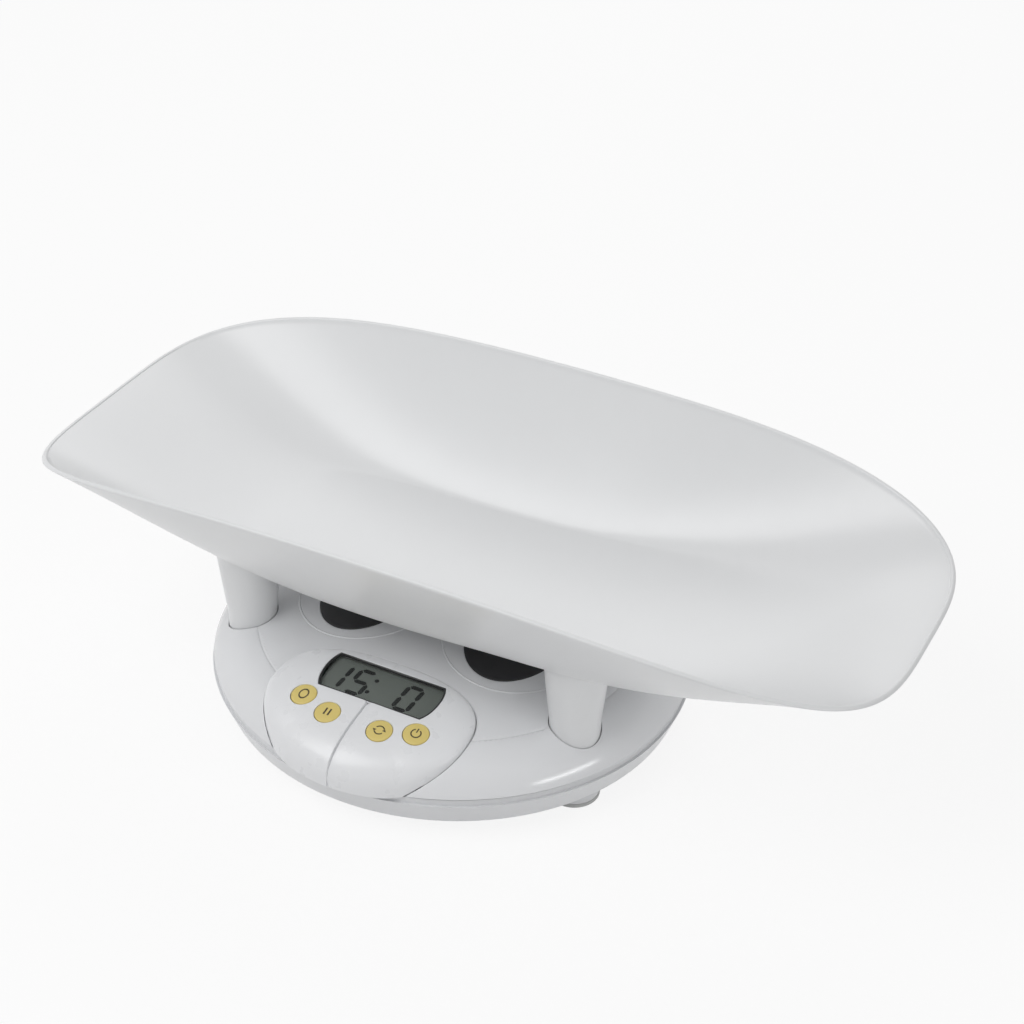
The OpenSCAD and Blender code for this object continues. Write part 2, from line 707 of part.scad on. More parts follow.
// Four cells side by side, every other one turned round
module batteries() {
    nub = 1;
    color([0.3, 0.32, 0.35]) at_base() for (i = [0 : 3])
        translate([(i - 1.5) * pitch, bay_0 + (i % 2 == 0 ? 0.6 : cell_room - 0.6), cell_z])
            rotate([i % 2 == 0 ? -90 : 90, 0, 0]) {
                cylinder(r = 2.7, h = nub + 0.2, $fn = round_n);
                translate([0, 0, nub]) cylinder(r = cell_d / 2, h = cell_l - nub, $fn = round_n);
            }
}

// Contact plates on both end walls and a conical spring at each flat cell end
plate_t = 0.4;
module contact_plate(x, w, front) {
    y = front ? bay_0 + 0.1 : bay_0 + cell_room - 0.1 - plate_t;
    translate([x - w / 2, y, cell_z - 4]) cube([w, plate_t, 8]);
}
module battery_contacts() {
    spring_l = cell_room - cell_l - 0.6 - 0.1 - plate_t - 0.5;
    turns = 3;
    color(steel) at_base() {
        for (x = [-1.5, 1.5]) {
            contact_plate(x * pitch, 9, true);
            translate([x * pitch - 1.5, bay_0 + 0.1, cell_z + 3]) cube([3, plate_t, 4]);
            contact_plate(x * pitch - sign(x) * pitch / 2, pitch + 8, false);
        }
        contact_plate(0, pitch + 8, true);
        for (i = [0 : 3]) {
            front = i % 2 == 1;
            y = front ? bay_0 + 0.1 + plate_t + 0.35 : bay_0 + cell_room - 0.45 - plate_t;
            translate([(i - 1.5) * pitch, y, cell_z]) rotate([front ? -90 : 90, 0, 0])
                lead([for (k = [0 : 10 * turns]) let (a = 36 * k, f = k / (10 * turns), r = 4.6 - 1.8 * f)
                    [r * cos(a), r * sin(a), (spring_l - 0.8) * f]], 0.4);
        }
    }
}

// ---- feet and load cells --------------------------------------------------------------

cell_s = 26;
cell_t = 1.5;
cell_plate_z = 17;
cell_in = 3;

// A steel plate with a slot on three sides of its measuring tongue
module load_cells() {
    color(steel) at_base() at_feet() translate([-cell_in, 0, cell_plate_z]) difference() {
        translate([-cell_s / 2, -cell_s / 2, 0]) cube([cell_s, cell_s, cell_t]);
        translate([7.5, -8.5, -1]) cube([2, 17, cell_t + 2]);
        for (y = [-8.5, 6.5]) translate([-8, y, -1]) cube([16, 2, cell_t + 2]);
    }
}

// Frames on the lower shell's floor that carry the plates by their edges
module cell_holders() {
    s = cell_s + 3;
    low = under_z + lower_wall + seat_gap;
    color(grey) at_base() at_feet() translate([-cell_in, 0, 0]) difference() {
        translate([-s / 2, -s / 2, low]) cube([s, s, cell_plate_z + cell_t - low + 0.6]);
        translate([-cell_s / 2 - 0.2, -cell_s / 2 - 0.2, cell_plate_z - 0.1])
            cube([cell_s + 0.4, cell_s + 0.4, 5]);
        translate([-cell_s / 2 + 2.5, -cell_s / 2 + 2.5, 0]) cube([cell_s - 5, cell_s - 5, 30]);
        translate([-s / 2 - 1, -2, cell_plate_z - 1]) cube([4, 4, 5]);
    }
}

// Foot cups with the stud that carries the tongue of a load cell
foot_r = 15.7;
pad_t = 2.5;
module foot_cups() {
    top = under_z - 1.2;
    color(white) at_base() at_feet() {
        translate([0, 0, pad_t + seat_gap])
            cylinder(r1 = foot_r - 0.5, r2 = foot_r - 1.1, h = top - pad_t - seat_gap, $fn = round_n);
        translate([0, 0, top - 0.5])
            cylinder(r = stud_r, h = cell_plate_z - seat_gap - top + 0.5, $fn = round_n);
    }
}
module foot_pads() {
    color(grey) at_base() at_feet() cylinder(r = foot_r, h = pad_t, $fn = round_n);
}

// Leads from the load cells to the board's socket
socket_z = 41.5;
socket_y = -88.4;
module cell_leads() {
    angle = atan2(foot_y, foot_x);
    reach = cell_s / 2 + cell_in + 0.3;
    z = cell_plate_z + cell_t / 2;
    low_z = 14.2;
    color(dark) at_base() for (i = [-1, 1], j = [-1, 1]) {
        x = i * (foot_x - reach * cos(angle));
        y = j * (foot_y - reach * sin(angle));
        back = j > 0;
        end_x = i * (back ? 5 : 1.7);
        lead(soft(concat(
            [[x, y, z], [x - i * 6, y - j * 3, z], [x - i * 12, y - j * 6, low_z]],
            back ? [[i * 54, 30, low_z], [i * 50, -22, low_z], [end_x, socket_y + 34, low_z]]
                : [[i * 60, -64, low_z]],
            [[end_x, socket_y, back ? 30 : 20], [end_x, socket_y, socket_z]])), 0.9);
    }
}

// Leads from the battery box to the board's socket
module battery_leads() {
    color([0.6, 0.1, 0.1]) at_base() for (i = [-1, 1])
        lead(soft([[i * 1.5 * pitch, bay_0 + 0.05, lead_hole_z], [i * 1.5 * pitch, bay_0 - 14, lead_hole_z],
            [i * 8.2, socket_y + 20, 30], [i * 8.2, socket_y, 34], [i * 8.2, socket_y, socket_z]]), 0.8);
}

// ---- drawing --------------------------------------------------------------------------

tray();
top_cover();
left_pad();
right_pad();
control_panel();
display_window();
lcd_glass();
contact_strips();
circuit_board();
board_screws();
key_switches();
zero_button();
zero_plunger();
hold_button();
hold_plunger();
unit_button();
unit_plunger();
power_button();
power_plunger();
panel_screws();
lower_cover();
case_screws();
battery_door();
batteries();
battery_contacts();
load_cells();
cell_holders();
foot_cups();
foot_pads();
cell_leads();
battery_leads();
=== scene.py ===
"""Digital baby weighing scale: a long curved tray on four legs over a domed oval base with a
raised control panel, a display, four buttons and two non-slip pads. Sizes are in millimetres
and every mesh is brought to metres when it is made."""

import json
from math import acos, cos, pi, radians, sin, sqrt, tan

import bmesh
import bpy
import numpy as np
from mathutils import Matrix, Vector
from mathutils.bvhtree import BVHTree
from mathutils.geometry import delaunay_2d_cdt


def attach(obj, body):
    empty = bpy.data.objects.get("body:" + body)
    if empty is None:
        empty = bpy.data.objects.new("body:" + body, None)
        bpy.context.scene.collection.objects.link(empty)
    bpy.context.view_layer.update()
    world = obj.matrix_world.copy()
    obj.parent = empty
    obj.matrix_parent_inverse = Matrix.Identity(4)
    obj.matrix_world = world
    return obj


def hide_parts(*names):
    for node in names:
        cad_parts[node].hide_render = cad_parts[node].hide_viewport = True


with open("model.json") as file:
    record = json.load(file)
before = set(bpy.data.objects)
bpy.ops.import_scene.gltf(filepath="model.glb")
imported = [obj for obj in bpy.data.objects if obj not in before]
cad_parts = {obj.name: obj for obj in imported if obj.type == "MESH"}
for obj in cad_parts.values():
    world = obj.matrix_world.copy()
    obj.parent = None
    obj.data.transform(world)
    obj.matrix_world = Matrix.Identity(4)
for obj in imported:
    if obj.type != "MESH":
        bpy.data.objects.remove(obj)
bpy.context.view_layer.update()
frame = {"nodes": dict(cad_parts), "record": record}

# ---- feet ----
# Four round feet: a soft rubber pad, turned with a rounded edge, pressed on a moulded cup whose
# stud carries the load cell's tongue. They are the only parts that touch the table.

MM = 0.001  # metres in a millimetre
base_x = -22.5  # middle of the base, from the middle of the tray's length
foot_places = [(i * 112.5 + base_x, j * 56.0) for i in (-1, 1) for j in (-1, 1)]


def paint(red, green, blue):
    """A colour as it is seen, 0 to 255, for a shader."""
    seen = (np.array([red, green, blue]) / 255.0 + 0.055) / 1.055
    return (*(seen**2.4).tolist(), 1.0)


def put(node, **values):
    """Sets a node's inputs by their names, with _ for a space."""
    for label, value in values.items():
        node.inputs[label.replace("_", " ")].default_value = value


def finish_of(name, colour, roughness, metal=0.0, grain=150.0, depth=0.006, mottle=0.02,
              spread=0.03, alpha=1.0):
    """A moulded, rubber or metal finish: relief depth mm deep, a cloudy colour, uneven gloss."""
    colour = paint(*colour)
    made = bpy.data.materials.new(name)
    made.use_nodes = True
    nodes, links = made.node_tree.nodes, made.node_tree.links
    skin = nodes["Principled BSDF"]
    place = nodes.new("ShaderNodeTexCoord").outputs["Object"]

    def cloud(scale, detail):
        noise = nodes.new("ShaderNodeTexNoise")
        put(noise, Scale=scale, Detail=detail)
        links.new(place, noise.inputs["Vector"])
        return noise.outputs["Fac"]

    tint = nodes.new("ShaderNodeMix")
    tint.data_type = "RGBA"
    tint.inputs[6].default_value = colour
    tint.inputs[7].default_value = (*[c * (1 - mottle) for c in colour[:3]], 1.0)
    links.new(cloud(22.0, 3.0), tint.inputs[0])
    links.new(tint.outputs[2], skin.inputs["Base Color"])
    gloss = nodes.new("ShaderNodeMapRange")
    put(gloss, To_Min=max(0.0, roughness - spread), To_Max=roughness + spread)
    links.new(cloud(90.0, 4.0), gloss.inputs["Value"])
    links.new(gloss.outputs["Result"], skin.inputs["Roughness"])
    relief = nodes.new("ShaderNodeBump")
    put(relief, Distance=depth * MM)
    links.new(cloud(grain, 4.0), relief.inputs["Height"])
    links.new(relief.outputs["Normal"], skin.inputs["Normal"])
    put(skin, Metallic=metal, Alpha=alpha)
    return made


def placed(name, data):
    """An object in the scene for a mesh, a lamp or a camera."""
    thing = bpy.data.objects.new(name, data)
    bpy.context.collection.objects.link(thing)
    return thing


def made_piece(name, points, faces, material, body, slot, stands_for=(), sharp=38.0, facing=None):
    """A finished piece from points in millimetres, smooth but for its edges, on its body."""
    mesh = bpy.data.meshes.new(name)
    corners = [list(map(int, face)) for face in faces]
    mesh.from_pydata((np.asarray(points, float) * MM).tolist(), [], corners)
    if facing is None:
        whole = bmesh.new()
        whole.from_mesh(mesh)
        bmesh.ops.remove_doubles(whole, verts=whole.verts, dist=1e-7)
        bmesh.ops.recalc_face_normals(whole, faces=whole.faces)
        whole.to_mesh(mesh)
        whole.free()
    mesh.shade_smooth()
    mesh.set_sharp_from_angle(angle=radians(sharp))
    if facing is not None:
        mesh.normals_split_custom_set(facing)
    mesh.materials.append(material)
    piece = placed(name, mesh)
    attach(piece, body)
    if stands_for:
        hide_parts(*stands_for)
    return piece


def loft(rings, capped=True):
    """Points and faces through rings of as many points, closed by a middle point at each end."""
    rings = [np.asarray(r, float) for r in rings]
    n, m = len(rings[0]), len(rings)
    points, faces = np.vstack(rings), []
    for j in range(m - 1):
        for i in range(n):
            k = (i + 1) % n
            faces.append((j * n + i, j * n + k, (j + 1) * n + k, (j + 1) * n + i))
    if capped:
        points = np.vstack([points, rings[0].mean(0), rings[-1].mean(0)])
        faces += [(m * n, (i + 1) % n, i) for i in range(n)]
        faces += [(m * n + 1, (m - 1) * n + i, (m - 1) * n + (i + 1) % n) for i in range(n)]
    return points, faces


def merged(parts):
    """Several (points, faces) as one."""
    points, faces, start = [], [], 0
    for p, f in parts:
        points.append(np.asarray(p, float))
        faces += [tuple(i + start for i in face) for face in f]
        start += len(p)
    return np.vstack(points), faces


def evenly(count):
    return np.linspace(0, 2 * pi, count, endpoint=False)


def around(count):
    """Cosines and sines of evenly spaced turns."""
    return np.cos(evenly(count)), np.sin(evenly(count))


def ring_points(cx, cy, rx, ry, count):
    c, s = around(count)
    return np.column_stack([cx + rx * c, cy + ry * s])


def at_height(flat, z):
    """The points of a flat outline, all at one height."""
    return np.column_stack([flat, np.full(len(flat), z)])


def turned(section, x=0.0, y=0.0, count=72):
    """Rings of a turned shape from its half section of (radius, height) points."""
    return [at_height(ring_points(x, y, r, r, count), z) for r, z in section]


def rounded(r, z, size):
    """Half section points of a rounded edge that ends at radius r and height z."""
    turns = np.linspace(0, pi / 2, 5)
    return [(r - size * (1 - cos(t)), z - size * (1 - sin(t))) for t in turns]


def on_feet(section):
    """A turned shape at each of the four feet."""
    return merged([loft(turned(section, x, y)) for x, y in foot_places])


foot_r, foot_round, foot_top = 15.7, 0.9, 2.5
foot_rubber = finish_of("foot_rubber_pale", (196, 197, 196), 0.62, grain=900, depth=0.012,
                        mottle=0.05)
low_edge = [(foot_r - foot_round * (1 - cos(t)), foot_round - foot_round * sin(t))
            for t in np.linspace(0, pi / 2, 6)]
foot_section = [(9.0, 0.0)] + low_edge[::-1] + rounded(foot_r, foot_top, 0.8) + [(8.0, foot_top)]
made_piece("foot_pads_rubber", *on_feet(foot_section), foot_rubber, "base", "foot_rubber",
           ["foot_pads"])

cup_low, cup_top, stud_r, stud_top = 2.6, 8.8, 5.5, 16.9
white_plastic = finish_of("white_moulded_plastic", (228, 229, 231), 0.14, spread=0.02)
cup_section = [(9.0, cup_low), (14.9, cup_low), (15.2, 2.9), (14.75, 8.1)]
cup_section += rounded(14.7, cup_top, 0.6) + [(stud_r, cup_top), (stud_r, stud_top - 0.3)]
cup_section += [(stud_r - 0.3, stud_top), (2.0, stud_top)]
made_piece("foot_cups_white", *on_feet(cup_section), white_plastic, "base", "holder_plastic",
           ["foot_cups"])

# ---- base cover ----
# The domed upper half of the base, injection moulded in white plastic. It has a fine style line
# round the dome, four sockets that take the tray's legs, and shallow places for the two pads.

OVAL = 0.957  # the base's width over its length
DOME_Z, DOME_R = 62.6, 634.0  # top of the dome and its radius
CREASE, ROUND = 121.0, 34.8  # radius of the style line, and of the shoulder's rounding
LINE_HALF, LINE_DEPTH = 0.45, 0.4
COVER_R, SOCKET_R, BOSS_R, HOLE_R = 149.5, 15.6, 17.8, 8.0
PAD_SPAN, PANEL_SPAN = 34.0, 42.0  # millimetres in one step of a pad's or the panel's level
shoulder_x = CREASE - 3
crease_z = DOME_Z - DOME_R + sqrt(DOME_R**2 - CREASE**2)
shoulder_z = crease_z - sqrt(ROUND**2 - 9)
edge_z, wall, seat = 29.8, 2.4, 38.0
legs = [(i * 111.0, j * 54.0) for i in (-1, 1) for j in (-1, 1)]
pad_middles, pad_half = [(-50.5, -5.0), (50.5, -5.0)], (30.7, 46.2)


def cover_z(x, y, t=0.0):
    """Height of the cover's plain skin, t under it, at a place from the base's middle."""
    r = np.hypot(x, y / OVAL)
    dome = DOME_Z - DOME_R + np.sqrt((DOME_R - t) ** 2 - np.minimum(r, 200) ** 2)
    reach = np.hypot(3.0, DOME_Z - DOME_R + sqrt((DOME_R - t) ** 2 - CREASE**2) - shoulder_z)
    side = shoulder_z + np.sqrt(np.maximum(0.0, reach**2 - (r - shoulder_x) ** 2))
    return np.where(r < CREASE, dome, side)


def eased_edge(d, size):
    """How much lower a rounded edge is at the distance d inside it."""
    inner = np.clip(size - d, 0, size)
    return size - np.sqrt(np.maximum(size**2 - inner**2, 0.0))


PANEL_A, PANEL_BACK, PANEL_FRONT, PANEL_Y = 65.5, 37.0, 46.7, -102.0
SQUARE_BACK, SQUARE_FRONT, PANEL_GAP = 2.7, 2.0, 0.35


def panel_level(x, y, grow=0.0):
    """1 on the panel's outline grown by a gap, less inside it and more outside it."""
    v = y - PANEL_Y
    e = np.where(v > 0, SQUARE_BACK, SQUARE_FRONT)
    b = np.where(v > 0, PANEL_BACK, PANEL_FRONT) + grow
    return (np.abs(x / (PANEL_A + grow)) ** e + np.abs(v / b) ** e) ** (1 / e)


half_lines = [0.25, 0.55, 0.9, 1.75, 3.0, 4.5]
nose_lines = np.array([-x for x in half_lines[::-1]] + [0.0] + half_lines)
even_turns = evenly(256)
even_turns = even_turns[np.abs(even_turns - 1.5 * pi) > 0.08]
panel_turns = np.sort(np.append(even_turns, 1.5 * pi + np.arcsin(nose_lines / PANEL_A)))


def panel_outline(level=1.0, grow=0.0):
    """Points of the panel's outline from above, closer together at the groove down its nose."""
    c, s = np.cos(panel_turns), np.sin(panel_turns)
    e = np.where(s > 0, SQUARE_BACK, SQUARE_FRONT)
    k = (np.abs(c) ** e + np.abs(s) ** e) ** (-1 / e)
    b = np.where(s > 0, PANEL_BACK, PANEL_FRONT) + grow
    return np.column_stack([level * (PANEL_A + grow) * k * c, PANEL_Y + level * b * k * s])


def cover_top(x, y):
    """Height of the cover's skin with its style line and rounded edges."""
    r = np.hypot(x, y / OVAL)
    z = cover_z(x, y) - LINE_DEPTH * np.clip(1 - np.abs(r - CREASE) / LINE_HALF, 0, 1)
    for lx, ly in legs:
        z = z - eased_edge(np.hypot(x - lx, y - ly) - SOCKET_R, 0.6)
    for px, py in pad_middles:
        q = np.hypot((x - px) / pad_half[0], (y - py) / pad_half[1])
        z = z - eased_edge((q - 1) * PAD_SPAN, 0.35)
    return z - eased_edge((panel_level(x, y, PANEL_GAP) - 1) * PANEL_SPAN, 0.4)


def plan_mesh(scatter, loops, zone_of, tops, unders, slope, open_at=None):
    """A closed sheet over a plan. Each zone of the plan has its own upper and lower height, and a
    wall stands wherever two zones' heights differ, unless open_at says that the edge is left open.
    Returns points, faces and the facing of each corner."""
    flat, links = [Vector(p) for p in scatter], []
    for loop in loops:
        start = len(flat)
        flat += [Vector(p) for p in loop]
        links += [(start + i, start + (i + 1) % len(loop)) for i in range(len(loop))]
    plan, _, tris, *_ = delaunay_2d_cdt(flat, links, [], 0, 1e-4, False)
    plan = np.array([(p[0], p[1]) for p in plan])
    tris = np.array([t for t in tris if len(t) == 3])
    a, b, c = plan[tris[:, 0]], plan[tris[:, 1]], plan[tris[:, 2]]
    area = (b[:, 0] - a[:, 0]) * (c[:, 1] - a[:, 1]) - (b[:, 1] - a[:, 1]) * (c[:, 0] - a[:, 0])
    tris[area < 0] = tris[area < 0][:, ::-1]
    middle = plan[tris].mean(1)
    zone = zone_of(middle[:, 0], middle[:, 1])
    keep = (zone > 0) & (np.abs(area) > 1e-7)
    tris, zone, middle = tris[keep], zone[keep], middle[keep]
    points, faces, index = [], [], {}

    def corner(i, z, low):
        key = (int(i), int(z), low)
        if key not in index:
            p = plan[i]
            height = (unders if low else tops)[int(z)](p[0], p[1])
            index[key] = len(points)
            points.append(height if np.ndim(height) else (p[0], p[1], float(height)))
        return index[key]

    near = plan[tris] * 0.999 + middle[:, None] * 0.001
    facing = np.zeros((len(tris), 3, 3))
    for z, height in slope.items():
        pick = zone == z
        x, y = near[pick, :, 0], near[pick, :, 1]
        dx = (height(x + 0.01, y) - height(x - 0.01, y)) / 0.02
        dy = (height(x, y + 0.01) - height(x, y - 0.01)) / 0.02
        size = np.sqrt(1 + dx**2 + dy**2)
        facing[pick] = np.stack([-dx / size, -dy / size, 1 / size], -1)
    edge_zones = {}
    for t, z in zip(tris, zone):
        faces.append([corner(i, z, False) for i in t])
        for j in range(3):
            edge_zones[(int(t[j]), int(t[(j + 1) % 3]))] = int(z)
    for t, z in zip(tris, zone):
        faces.append([corner(i, z, True) for i in t[::-1]])
    for (i, j), z in edge_zones.items():
        other = edge_zones.get((j, i), 0)
        if other == z or (open_at is not None and open_at(*((plan[i] + plan[j]) / 2))):
            continue
        if other == 0:
            faces.append([corner(j, z, False), corner(i, z, False), corner(i, z, True),
                          corner(j, z, True)])
        elif z < other:
            for low in (False, True):
                quad = [corner(j, z, low), corner(i, z, low), corner(i, other, low),
                        corner(j, other, low)]
                height = [points[k][2] for k in quad]
                if abs(height[0] - height[3]) + abs(height[1] - height[2]) > 1e-6:
                    faces.append(quad)
    rest = sum(len(f) for f in faces[len(tris):])
    return np.array(points, float), faces, facing.reshape(-1, 3).tolist() + [(0, 0, 0)] * rest


def weld(points, faces, facing):
    """Makes points that lie together one, and drops the faces that this closes up."""
    _, first, place = np.unique(np.round(points, 4), axis=0, return_index=True, return_inverse=True)
    place, kept, turned_to, start = place.ravel(), [], [], 0
    for face in faces:
        corners = [int(place[i]) for i in face]
        ways = facing[start:start + len(face)]
        start += len(face)
        clear = [k for k in range(len(corners)) if corners[k] != corners[k - 1]]
        if len(clear) > 2:
            kept.append([corners[k] for k in clear])
            turned_to += [ways[k] for k in clear]
    return points[first], kept, turned_to


def cover_zone(x, y):
    """1 shell, 2 boss round a leg's socket, 3 the socket's floor, 4 a pad's place, 0 nothing."""
    zone = np.where(np.hypot(x, y / OVAL) < COVER_R, 1, 0)
    for lx, ly in legs:
        d = np.hypot(x - lx, y - ly)
        zone = np.where((d < BOSS_R) & (zone > 0), 2, zone)
        zone = np.where(d < SOCKET_R, 3, zone)
        zone = np.where(d < HOLE_R, 0, zone)
    for px, py in pad_middles:
        zone = np.where(np.hypot((x - px) / pad_half[0], (y - py) / pad_half[1]) < 1, 4, zone)
    return np.where(panel_level(x, y, PANEL_GAP) < 1, 0, zone)


crease_lines = [CREASE - LINE_HALF, CREASE, CREASE + LINE_HALF]
spread_r = [*np.arange(4.0, CREASE - 1.5, 3.0), CREASE - 1, *crease_lines, CREASE + 1]
turn = np.linspace(0.11, acos((edge_z - shoulder_z) / ROUND) - 0.01, 26)
spread_r += [r for r in shoulder_x + ROUND * np.sin(turn) if r < COVER_R - 1.4]
scatter = [(0.0, 0.0)]
for k, r in enumerate(spread_r):
    n = int(max(12, min(260, 2 * pi * r / 3.2)))
    scatter += [(r * cos(a), OVAL * r * sin(a)) for a in evenly(n) + k * 0.37]
loops = [ring_points(0, 0, r, r * OVAL, 300) for r in (COVER_R, COVER_R - 1.1)]
loops += [ring_points(0, 0, r, r * OVAL, 280) for r in crease_lines]
socket_lines = [HOLE_R, SOCKET_R, 15.7, 15.9, 16.2, BOSS_R]
loops += [ring_points(lx, ly, r, r, 96) for lx, ly in legs for r in socket_lines]
loops += [ring_points(px, py, pad_half[0] + g, pad_half[1] + g, 120)
          for px, py in pad_middles for g in (0.0, 0.1, 0.35)]
loops += [panel_outline(1.0, PANEL_GAP + g) for g in (0.0, 0.12, 0.4)]
scatter = np.array(scatter)
from_leg = np.min([np.hypot(scatter[:, 0] - lx, scatter[:, 1] - ly) for lx, ly in legs], 0)
by_panel = np.abs(panel_level(scatter[:, 0], scatter[:, 1], PANEL_GAP) - 1.005) < 0.015
scatter = scatter[((from_leg > BOSS_R + 0.6) | (from_leg < HOLE_R - 1)) & ~by_panel]


def cover_under(x, y):
    """The inner skin, which ends a little high and so leaves a shadow line over the lower shell."""
    return max(edge_z + 0.8, float(cover_z(x, y, wall)))


cover_tops = {1: cover_top, 2: cover_top, 3: lambda x, y: seat,
              4: lambda x, y: float(cover_z(x, y)) - 1.0}
cover_unders = {1: cover_under, 2: lambda x, y: seat - 2.5, 3: lambda x, y: seat - 2.5,
                4: lambda x, y: float(cover_z(x, y, wall))}
points, faces, facing = plan_mesh(scatter, loops, cover_zone, cover_tops, cover_unders,
                                  {1: cover_top, 2: cover_top})
points[:, 0] += base_x
made_piece("top_cover_white", points, faces, white_plastic, "base", "white_plastic",
           ["top_cover"], facing=facing)

# ---- control panel ----
# The raised control panel, a separate domed moulding screwed to the cover from inside. A groove
# runs from the display down its nose, and its lower edge turns in over the seam.

PANEL_Z, TILT, FULL = 57.2, radians(6), 3.2  # FULL is how squarely its side turns over
SKIRT = 0.993  # level of the outline at which the steep side begins
panel_t = 2.2
lens_v, lens_a, lens_d = 15.5, 38.5, 29.0
LENS_BOW, LENS_POWER, LENS_SPLAY = 3.6, 2.4, 0.05
# each button: along the panel, up it, height of its top and sideways lean in degrees
keys = [(-37.7, -9.3, -0.6, -3.6), (-17.4, -16.1, -0.45, -1.2), (17.4, -16.1, -0.45, 1.2),
        (37.7, -9.3, -0.6, 3.6)]
key_hole = 8.05


def panel_side_z(x, y):
    """Height at which the panel's side ends, in the direction of a place."""
    u, v = x, y - PANEL_Y
    level = np.maximum(panel_level(x, y), 1e-6)
    ex, ey = u / level, PANEL_Y + v / level
    r = np.hypot(ex, ey / OVAL)
    past_seam = edge_z - 1.4 * np.clip((r - 150.0) / 3.0, 0, 1)
    return np.where(r > 150.0, past_seam, np.maximum(edge_z, cover_z(ex, ey)))


def panel_plain(x, y):
    s = np.clip(panel_level(x, y), 0, 1)
    low = panel_side_z(x, y)
    top = PANEL_Z + tan(TILT) * (y - PANEL_Y)
    return low + (top - low) * (1 - s**FULL) ** (1 / FULL)


def lens_outline(grow=0.0):
    """Outline of the display's opening on the panel's slope, with softly rounded corners."""
    h = lens_d / 2 + grow
    v = h * np.sin(np.linspace(-pi / 2, pi / 2, 29))
    half = lens_a + grow - LENS_BOW * np.abs(v / h) ** LENS_POWER + LENS_SPLAY * v
    right = np.column_stack([half, lens_v + v])
    left = np.column_stack([-half[::-1], lens_v + v[::-1]])
    back = at_height(nose_lines[::-1, None], lens_v + h)
    front = at_height(nose_lines[:, None], lens_v - h)
    return np.vstack([right, back, left, front])


def to_plan(uv):
    """Places on the panel's slope seen from above."""
    return np.column_stack([uv[:, 0], PANEL_Y + np.asarray(uv)[:, 1] * cos(TILT)])


def lens_gap(x, y):
    """Rough distance outside the display's opening."""
    v = (y - PANEL_Y) / cos(TILT) - lens_v
    bow = LENS_BOW * np.minimum(np.abs(v) / (lens_d / 2), 1) ** LENS_POWER
    side = np.abs(x) - (lens_a - bow + LENS_SPLAY * v)
    return np.maximum(side, np.abs(v) - lens_d / 2)


def key_gap(x, y):
    gaps = [np.hypot(x - kx, (y - PANEL_Y) / cos(TILT) - kv) - key_hole for kx, kv, *_ in keys]
    return np.min(gaps, 0)


window_front = PANEL_Y + (lens_v - lens_d / 2) * cos(TILT)
window_back = PANEL_Y + (lens_v + lens_d / 2) * cos(TILT)


def groove_depth(x, y):
    """Depth of the groove down the nose: a narrow cut, wider at the window, with soft shoulders."""
    flare = np.clip(1 - (window_front - y) / 2.6, 0, 1)
    cut = (1.4 + 0.4 * flare) * np.clip(1 - (np.abs(x) / (0.55 + 1.2 * flare)) ** 4, 0, 1)
    right, left = 0.6 * np.clip(1 - x / 4.5, 0, 1) ** 2, 0.25 * np.clip(1 + x / 3.0, 0, 1) ** 2
    soft = np.where(x > 0, right, left)
    behind = 0.45 * np.clip(1 - np.abs(x) / 0.75, 0, 1)
    return np.where(y < window_front, cut + soft, np.where(y > window_back, behind, 0.0))


def panel_top(x, y):
    lens_edge = eased_edge(np.maximum(lens_gap(x, y), 0), 0.45)
    key_edge = eased_edge(np.maximum(key_gap(x, y), 0), 0.35)
    return panel_plain(x, y) - lens_edge - key_edge - groove_depth(x, y)


def panel_zone(x, y):
    zone = np.where(panel_level(x, y) < SKIRT, 1, 0)
    return np.where((lens_gap(x, y) < 0) | (key_gap(x, y) < 0), 0, zone)


def panel_under(x, y):
    """The inner skin, drawn in a little towards the side so that the wall keeps its thickness."""
    s = float(panel_level(x, y))
    w = np.clip((s - 0.92) / (SKIRT - 0.92), 0, 1)
    w = w * w * (3 - 2 * w)
    b = PANEL_BACK if y > PANEL_Y else PANEL_FRONT
    u, v = x * (1 - panel_t / PANEL_A * w), (y - PANEL_Y) * (1 - panel_t / b * w)
    inner = min(float(panel_level(np.array(u), np.array(PANEL_Y + v), -panel_t)), 1.0)
    low = float(panel_side_z(np.array(x), np.array(y)))
    top = PANEL_Z - panel_t + tan(TILT) * v
    return (u, PANEL_Y + v, low + (top - low) * (1 - inner**FULL) ** (1 / FULL))


x, y = np.meshgrid(np.arange(-66, 66.1, 2.0), np.arange(-150, -64, 2.0))
x, y = (x + 1.0 * (np.arange(len(x)) % 2)[:, None]).ravel(), y.ravel()
clear = (panel_level(x, y) < 0.93) & (np.abs(x) > np.where(y < window_front, 5.6, 1.3))
clear = clear & (lens_gap(x, y) > 1.2) & (key_gap(x, y) > 1.0)
scatter = np.column_stack([x[clear], y[clear]])
loops = [panel_outline(s) for s in (SKIRT, 0.985, 0.972, 0.957, 0.94)]
loops += [to_plan(lens_outline(g)) for g in (0.0, 0.12, 0.45)]
for kx, kv, *_ in keys:
    for r in (key_hole, key_hole + 0.1, key_hole + 0.35):
        loops.append(to_plan(ring_points(kx, kv, r, r, 64)))
front_y = np.append(window_front - np.arange(0.85, 3.5, 0.45),
                    np.linspace(window_front - 4.2, PANEL_Y - 0.93 * PANEL_FRONT, 40))
back_y = np.linspace(window_back + 0.7, PANEL_Y + 0.93 * PANEL_BACK, 6)
nose_points = [(x, y) for x in nose_lines for y in front_y]
nose_points += [(x, y) for x in (-0.75, 0.0, 0.75) for y in back_y]
scatter = np.vstack([scatter, nose_points])
points, faces, facing = plan_mesh(scatter, loops, panel_zone, {1: panel_top}, {1: panel_under},
                                  {1: panel_top}, open_at=lambda x, y: panel_level(x, y) > 0.98)


